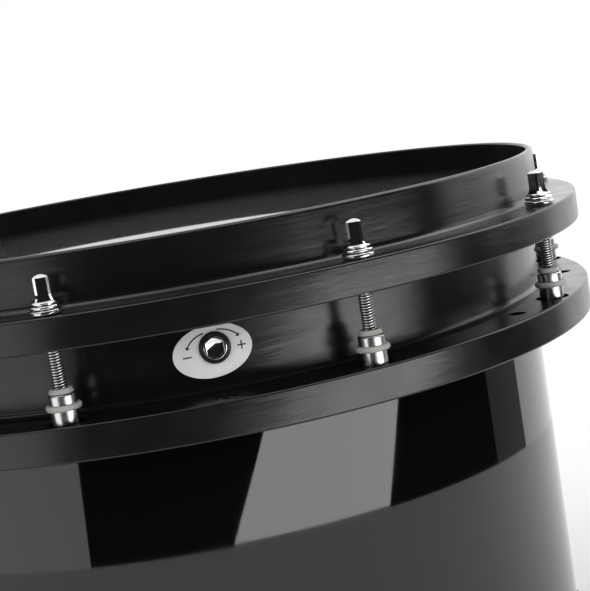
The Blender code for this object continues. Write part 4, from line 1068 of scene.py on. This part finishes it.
for number, angle, x, y in rod_places():
    twist = Matrix.Rotation(angle + math.radians(KEY_TURNS[number - 1]), 4, "Z")
    for side, place in (("batter", Matrix.Translation((x, y, FLANGE_TOP))),
                        ("snare", TURN_OVER @ Matrix.Translation((x, -y, FLANGE_TOP)))):
        body = f"{side}_rod_{number:02d}"
        shank = copy_of(shank_pattern, f"{side}_key_rod_{number:02d}", place @ twist)
        head = copy_of(key_head, f"{side}_key_{number:02d}", place @ twist)
        rod = join(f"{side}_key_rod_{number:02d}", shank, head)
        dress(rod, None, body, "chrome", [f"{side}_tension_rod_{number:02d}"])
        washers = copy_of(washer_pattern, f"{side}_washers_{number:02d}", place @ twist)
        dress(washers, None, body, "chrome")
for pattern in (shank_pattern, key_head, washer_pattern):
    discard(pattern)
print("tension rods:", 2 * ROD_COUNT)

# %% [markdown]
# ## Lug tubes
#
# Each rod screws into a chromed tube that stands in the ring's flange. A nylon bush closes the tube's
# mouth, and a nylon ring round its middle keeps it from rattling.

# %% Lug tubes
TUBE_R = 5.25 * MM
TUBE_BORE_R = 3.2 * MM
TUBE_TOP = 11.2 * MM
TUBE_FOOT = -9.5 * MM
BUSH_LOW = TUBE_TOP + 0.35 * MM
BUSH_TOP = 13.4 * MM
BUSH_R = 4.85 * MM
BUSH_TOP_R = 4.2 * MM
BUSH_NECK_R = 4.0 * MM
COLLAR_RING_R = 6.8 * MM
COLLAR_RING_LOW = 5.1 * MM
COLLAR_RING_HIGH = 7.4 * MM

tube_pattern = smooth(spun("tube_pattern", rounded([
    (TUBE_BORE_R, TUBE_TOP, 0.2 * MM), (TUBE_R, TUBE_TOP, 0.5 * MM), (TUBE_R, TUBE_FOOT, 0.4 * MM),
    (TUBE_BORE_R, TUBE_FOOT, 0.3 * MM)], 3), True, 48))
bush_pattern = smooth(spun("bush_pattern", rounded([
    (3.0 * MM, BUSH_TOP, 0.3 * MM), (BUSH_TOP_R, BUSH_TOP, 0.4 * MM),
    (BUSH_R, BUSH_LOW, 0.2 * MM), (BUSH_NECK_R, BUSH_LOW, 0),
    (BUSH_NECK_R, TUBE_TOP + 0.02 * MM, 0), (3.0 * MM, TUBE_TOP + 0.02 * MM, 0.1 * MM)], 3), True, 48))
ring_pattern = smooth(spun("ring_pattern", rounded([
    (TUBE_R + 0.02 * MM, COLLAR_RING_HIGH, 0.2 * MM), (COLLAR_RING_R, COLLAR_RING_HIGH, 0.9 * MM),
    (COLLAR_RING_R, COLLAR_RING_LOW, 0.9 * MM), (TUBE_R + 0.02 * MM, COLLAR_RING_LOW, 0.2 * MM)], 3),
    True, 48))
nylon_pattern = join("nylon_pattern", bush_pattern, ring_pattern)

for number, angle, x, y in rod_places():
    spot = Matrix.Translation((x, y, LUG_TOP)) @ Matrix.Rotation(angle, 4, "Z")
    tube = copy_of(tube_pattern, f"batter_tube_{number:02d}", spot)
    dress(tube, TUBE_CHROME, "drum", "chrome", [f"batter_lug_tube_{number:02d}"])
    dress(copy_of(nylon_pattern, f"batter_tube_nylon_{number:02d}", spot), OFF_WHITE_NYLON, "drum")
    under = (Matrix.Translation((x, y, 2 * MIDDLE_Z - LUG_TOP)) @ Matrix.Rotation(angle, 4, "Z")
             @ Matrix.Rotation(math.pi, 4, "X"))
    dress(copy_of(tube_pattern, f"snare_tube_{number:02d}", under), TUBE_CHROME, "drum", "chrome")
    dress(copy_of(nylon_pattern, f"snare_tube_nylon_{number:02d}", under), OFF_WHITE_NYLON, "drum")
discard(tube_pattern)
discard(nylon_pattern)
print("lug tubes:", 2 * ROD_COUNT)

# %% [markdown]
# ## Height adjusters
#
# An oval label is bent round the band, a black nylon bushing passes through it, and in the bushing
# turns a chromed spindle with a hexagonal socket. Two curved arrows show which way to turn, with a
# plain plus and minus for their legends.

# %% Label plates
PLATE_INNER_R = BAND_R + 0.3 * MM
PLATE_THICKNESS = 0.8 * MM
PLATE_HALF_WIDTH = 15.4 * MM
PLATE_HALF_HEIGHT = 10.3 * MM
PLATE_TILT = math.radians(5.0)
PLATE_MIDDLE = Vector((-1.0 * MM, -1.2 * MM))
PLATE_RINGS = 7


def wrap(piece, radius):
    """Bends a sheet that is drawn as (x, height) and depth y round the band."""
    for vertex in piece.data.vertices:
        angle = vertex.co.x / radius
        reach = radius + vertex.co.y
        vertex.co = (reach * math.sin(angle), -reach * math.cos(angle), ADJUSTER_Z + vertex.co.z)
    return piece


def recalculate(piece):
    take(piece)
    bpy.ops.object.mode_set(mode="EDIT")
    bpy.ops.mesh.select_all(action="SELECT")
    bpy.ops.mesh.normals_make_consistent(inside=False)
    rest()
    return piece


def make_plate(name):
    """An oval with rings of faces inside it and a round hole, given its thickness and bent."""
    rest()
    bpy.ops.mesh.primitive_circle_add(vertices=96, radius=1.0, fill_type="NGON")
    plate = named(name)
    take(plate)
    bpy.ops.object.mode_set(mode="EDIT")
    bpy.ops.mesh.select_all(action="SELECT")
    hole_share = ADJUSTER_BORE_R / PLATE_HALF_WIDTH
    for step in range(PLATE_RINGS):
        bpy.ops.mesh.inset(thickness=(1 - hole_share) / PLATE_RINGS)
    bpy.ops.mesh.delete(type="FACE")
    rest()
    for vertex in plate.data.vertices:
        flat = Vector((vertex.co.x, vertex.co.y))
        share = (flat.length - hole_share) / (1 - hole_share)
        way = flat.normalized()
        rim = Vector((way.x * PLATE_HALF_WIDTH, way.y * PLATE_HALF_HEIGHT))
        rim = Matrix.Rotation(PLATE_TILT, 2) @ rim + PLATE_MIDDLE
        spot = (way * ADJUSTER_BORE_R).lerp(rim, share)
        vertex.co = (spot.x, 0.0, spot.y)
    modifier = plate.modifiers.new("thickness", "SOLIDIFY")
    modifier.thickness = PLATE_THICKNESS
    modifier.offset = 0.0
    apply(plate, modifier)
    for vertex in plate.data.vertices:
        vertex.co.y += PLATE_THICKNESS / 2
    bevel(plate, 0.15 * MM, 2, 50.0)
    return smooth(recalculate(wrap(plate, PLATE_INNER_R)), 35.0, True)


front_plate = make_plate("front_label")
back_plate = copy_of(front_plate, "back_label", FACE_BACK)
dress(front_plate, LABEL_SHEET, "drum", "printed_plate", ["adjuster_plate_front"])
dress(back_plate, LABEL_SHEET, "drum", "printed_plate", ["adjuster_plate_back"])
print("label plates", 2 * PLATE_HALF_WIDTH, "m wide")

# %% Arrows and marks
INK_DEPTH = 0.04 * MM
STROKE = 0.55 * MM
ARROW_HEAD_WIDTH = 2.1 * MM
ARROW_STEPS = 12
MARK_LENGTH = 3.4 * MM
ARROWS = {
    "arrow_right": ((1.75, 6.7), (6.3, 6.4), (9.2, 3.5), (9.65, 2.5)),
    "arrow_left": ((-3.48, 6.1), (-8.36, 4.95), (-10.2, 1.6), (-10.65, 0.6)),
}
PLUS_AT = Vector((10.2 * MM, -0.8 * MM))
MINUS_AT = Vector((-10.9 * MM, -2.2 * MM))


def ink_strip(name, points, widths):
    """A flat strip along points in (x, height), as wide at each point as its width."""
    rest()
    bpy.ops.mesh.primitive_grid_add(x_subdivisions=len(points) - 1, y_subdivisions=1, size=2.0)
    strip = named(name)
    for vertex in strip.data.vertices:
        index = round((vertex.co.x + 1) / 2 * (len(points) - 1))
        here = points[index]
        ahead = points[min(index + 1, len(points) - 1)] - points[max(index - 1, 0)]
        side = Vector((-ahead.y, ahead.x)).normalized() * widths[index] / 2
        spot = here + side if vertex.co.y > 0 else here - side
        vertex.co = (spot.x, PLATE_THICKNESS, spot.y)
    modifier = strip.modifiers.new("ink", "SOLIDIFY")
    modifier.thickness = INK_DEPTH
    modifier.offset = 0.0
    apply(strip, modifier)
    return recalculate(wrap(strip, PLATE_INNER_R))


def make_arrow(name, start, bend, base, tip):
    """A curved shaft between two points, pulled towards a third, and a head with its point."""
    start, bend, base, tip = (Vector(spot) * MM for spot in (start, bend, base, tip))
    points = []
    for step in range(ARROW_STEPS + 1):
        share = step / ARROW_STEPS
        points.append(start.lerp(bend, share).lerp(bend.lerp(base, share), share))
    widths = [STROKE] * len(points)
    points += [base.lerp(tip, 0.03), tip]
    widths += [ARROW_HEAD_WIDTH, 0.06 * MM]
    return ink_strip(name, points, widths)


def make_stroke(name, middle, way):
    reach = Vector(way) * MARK_LENGTH / 2
    return ink_strip(name, [middle - reach, middle, middle + reach], [STROKE] * 3)


ink = [make_arrow(name, *spots) for name, spots in ARROWS.items()]
ink.append(make_stroke("minus", MINUS_AT, (1, 0)))
ink.append(make_stroke("plus_level", PLUS_AT, (1, 0)))
ink.append(make_stroke("plus_upright", PLUS_AT, (0, 1)))
front_ink = join("front_label_print", *ink)
back_ink = copy_of(front_ink, "back_label_print", FACE_BACK)
dress(front_ink, PRINT_INK, "drum")
dress(back_ink, PRINT_INK, "drum")
print("printed marks:", len(ink))

# %% Bushings and spindles
BUSHING_SEAT = -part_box("adjuster_bushing_front")[0].y - 1.5 * MM
BUSHING_FACE = -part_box("adjuster_bushing_front")[0].y
BUSHING_END = -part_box("adjuster_bushing_front")[1].y
SPINDLE_FACE = -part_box("adjuster_screw_front")[0].y
SPINDLE_HEAD_R = 4.5 * MM
SPINDLE_BACK = SPINDLE_FACE - 2.6 * MM
SPINDLE_SHAFT_R = 3.0 * MM
SHAFT_END = BUSHING_END - 0.3 * MM
CRANK_END = SHAFT_END - 1.6 * MM
HEX_R = 3.9 * MM
HEX_DEPTH = 1.3 * MM
DRILL_POINT_R = 3.2 * MM
DRILL_POINT_DEPTH = 1.9 * MM
PIN_R = 1.5 * MM
PIN_LENGTH = 5.5 * MM
PIN_SIDE = 2.2 * MM * math.cos(math.radians(35.0))
PIN_RISE = 2.2 * MM * math.sin(math.radians(35.0))

counterbore = SPINDLE_HEAD_R + 0.25 * MM
bushing = spun("front_bushing", rounded([
    (counterbore, BUSHING_FACE, 0.4 * MM), (6.2 * MM, BUSHING_FACE, 0.9 * MM),
    (6.2 * MM, BUSHING_SEAT, 0), (5.1 * MM, BUSHING_SEAT, 0), (5.1 * MM, BUSHING_END, 0.3 * MM),
    (3.25 * MM, BUSHING_END, 0), (3.25 * MM, SPINDLE_BACK - 0.2 * MM, 0),
    (counterbore, SPINDLE_BACK - 0.2 * MM, 0)]), True, 64)
bushing.data.transform(Matrix.Translation((0, 0, ADJUSTER_Z)) @ FACE_FRONT)
back_bushing = copy_of(bushing, "back_bushing", FACE_BACK)
dress(smooth(bushing), BLACK_NYLON, "drum", "black_plastic", ["adjuster_bushing_front"])
dress(smooth(back_bushing), BLACK_NYLON, "drum", "black_plastic", ["adjuster_bushing_back"])

spindle = spun("front_spindle", rounded([
    (0.0, SPINDLE_FACE, 0), (SPINDLE_HEAD_R, SPINDLE_FACE, 0.3 * MM),
    (SPINDLE_HEAD_R, SPINDLE_BACK, 0), (SPINDLE_SHAFT_R, SPINDLE_BACK, 0),
    (SPINDLE_SHAFT_R, SHAFT_END, 0), (4.2 * MM, SHAFT_END, 0.2 * MM), (4.2 * MM, CRANK_END, 0.2 * MM),
    (0.0, CRANK_END, 0)]), False, 64)
socket_floor = SPINDLE_FACE - HEX_DEPTH
cut(spindle, cylinder("hex_socket", HEX_R, socket_floor, SPINDLE_FACE + MM, (0, 0), "Z", 6))
rest()
bpy.ops.mesh.primitive_cone_add(vertices=32, radius1=0.0, radius2=DRILL_POINT_R, depth=DRILL_POINT_DEPTH,
                                location=(0, 0, socket_floor - DRILL_POINT_DEPTH / 2 + 0.01 * MM))
cut(spindle, settle(named("drill_point")))
pin = cylinder("pin", PIN_R, CRANK_END - PIN_LENGTH, CRANK_END - 0.01 * MM, (-PIN_SIDE, PIN_RISE), "Z")
spindle = join("front_spindle", spindle, pin)
spindle.data.transform(Matrix.Translation((0, 0, ADJUSTER_Z)) @ FACE_FRONT)
bevel(spindle, 0.15 * MM, 2, 50.0)
back_spindle = copy_of(spindle, "back_spindle", FACE_BACK)
dress(smooth(spindle, 35.0, True), CHROME, "front_adjuster", "chrome", ["adjuster_screw_front"])
dress(smooth(back_spindle, 35.0, True), CHROME, "back_adjuster", "chrome", ["adjuster_screw_back"])
print("adjusters at", round(ADJUSTER_Z, 4), "m")

# %% [markdown]
# ## Machined parts
#
# The strainer, the butt and the snare frame have the right shapes already. A copy of each CAD node is
# merged into one skin, its flat areas are dissolved into single faces, and its edges are broken by a
# bevel, as a file would.

# %% Softened copies of CAD nodes


def softened(node, name, width, segments=2):
    source = frame["nodes"][node]
    take(source)
    bpy.ops.object.duplicate(linked=False)
    piece = named(name)
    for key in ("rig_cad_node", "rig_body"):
        if key in piece:
            del piece[key]
    piece.parent = None
    take(piece)
    bpy.ops.object.mode_set(mode="EDIT")
    bpy.ops.mesh.select_all(action="SELECT")
    bpy.ops.mesh.remove_doubles(threshold=0.005 * MM)
    bpy.ops.mesh.dissolve_limited(angle_limit=math.radians(0.5))
    rest()
    return smooth(bevel(piece, width, segments, 32.0), 32.0, True)


MACHINED = [
    ("strainer_bracket", "strainer_frame", 0.8, CHROME, "drum", "chrome"),
    ("strainer_lever_pin", "lever_axle", 0.5, NICKEL_STEEL, "drum", "steel"),
    ("strainer_lever", "throw_lever", 0.7, CHROME, "throw_off_lever", "chrome"),
    ("strainer_carriage", "strainer_slide", 0.4, NICKEL_STEEL, "strainer_jaw", "steel"),
    ("strainer_clamp_plate", "strainer_clamp", 0.3, CHROME, "strainer_jaw", "chrome"),
    ("butt_bracket", "butt_frame", 0.8, CHROME, "drum", "chrome"),
    ("butt_jaw", "butt_slide", 0.4, NICKEL_STEEL, "butt_jaw", "steel"),
    ("butt_clamp_plate", "butt_clamp", 0.3, CHROME, "butt_jaw", "chrome"),
    ("top_snare_frame", "snare_carrier", 0.4, ALUMINIUM, "top_snares", "aluminium"),
    ("top_snare_guide_front", "front_guide", 0.3, ALUMINIUM, "drum", "aluminium"),
    ("top_snare_guide_back", "back_guide", 0.3, ALUMINIUM, "drum", "aluminium"),
    ("top_snare_wires", "wire_set", 0.1, NICKEL_STEEL, "top_snares", "steel"),
    ("snare_strands", "gut_strands", 0.1, GUT, "drum", "snare_strand"),
]
for node, name, width, material, body, slot_name in MACHINED:
    dress(softened(node, name, width * MM), material, body, slot_name, [node])
print("machined parts:", len(MACHINED))

# %% [markdown]
# ## Bracket screws
#
# Two button-head screws hold each bracket to the lower ring's flange. A screw could be one of
# Blender's ready-made bolts from an add-on, but a spun cross-section with a six-sided hole cut into
# it needs no add-on and keeps the faces few.

# %% Four bracket screws
BUTTON_R = 4.6 * MM
BUTTON_RISE = 2.4 * MM
BUTTON_SOCKET_R = 1.75 * MM
BUTTON_SOCKET_DEPTH = 1.6 * MM
BRACKET_PLATE = 3.0 * MM
SCREW_SIDE = 21.0 * MM

bracket_front = -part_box("strainer_bracket")[1].y + BRACKET_PLATE
screw_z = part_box("strainer_bracket")[1].z - (LUG_TOP - LUG_BOTTOM) / 2
button_face = bracket_front + BUTTON_RISE
button = spun("button_screw", rounded([
    (0.0, button_face, 0), (0.45 * BUTTON_R, button_face, 1.5 * MM),
    (BUTTON_R, bracket_front + 0.9 * MM, 0.5 * MM), (BUTTON_R, bracket_front + 0.05 * MM, 0),
    (0.0, bracket_front + 0.05 * MM, 0)]), False, 40)
cut(button, cylinder("button_socket", BUTTON_SOCKET_R, button_face - BUTTON_SOCKET_DEPTH,
                     button_face + MM, (0, 0), "Z", 6))
smooth(button, 35.0, True)
for facing_name, facing in (("strainer", Matrix.Identity(4)), ("butt", FACE_BACK)):
    for side_name, side in (("left", -1), ("right", 1)):
        spot = facing @ Matrix.Translation((side * SCREW_SIDE, 0, screw_z)) @ FACE_FRONT
        screw = copy_of(button, f"{facing_name}_screw_{side_name}", spot)
        dress(screw, SATIN_CHROME, "drum")
discard(button)
print("bracket screws at", round(screw_z, 4), "m")

# %% [markdown]
# ## The butt's knob
#
# The fine tuner at the back is a round knob with a knurled grip: every second strip of its wall is
# drawn inwards.

# %% Knob
KNOB_LOW, KNOB_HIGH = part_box("butt_tension_knob")
KNOB_Z = (KNOB_LOW.z + KNOB_HIGH.z) / 2
KNOB_R = (KNOB_HIGH.z - KNOB_LOW.z) / 2
KNOB_FACE = KNOB_HIGH.y
KNOB_DEPTH = 9.4 * MM
KNURLS = 36

knob = spun("tension_knob", rounded([
    (0.0, KNOB_FACE, 0), (KNOB_R - 0.2 * MM, KNOB_FACE, 1.2 * MM),
    (KNOB_R - 0.2 * MM, KNOB_FACE - KNOB_DEPTH, 0.8 * MM), (2.5 * MM, KNOB_FACE - KNOB_DEPTH, 0),
    (2.5 * MM, KNOB_LOW.y, 0.3 * MM), (0.0, KNOB_LOW.y, 0)]), False, KNURLS * 4)
for vertex in knob.data.vertices:
    angle = math.atan2(vertex.co.y, vertex.co.x)
    ridge = 0.5 + 0.5 * math.cos(KNURLS * angle)
    if Vector(vertex.co[:2]).length > KNOB_R - 1.5 * MM:
        vertex.co.x -= math.cos(angle) * 0.45 * MM * (1 - ridge)
        vertex.co.y -= math.sin(angle) * 0.45 * MM * (1 - ridge)
knob.data.transform(Matrix.Translation((0, 0, KNOB_Z)) @ FACE_BACK @ FACE_FRONT)
dress(smooth(recalculate(knob)), CHROME, "butt_knob", "chrome", ["butt_tension_knob"])
print("knob", round(2 * KNOB_R, 4), "m across")
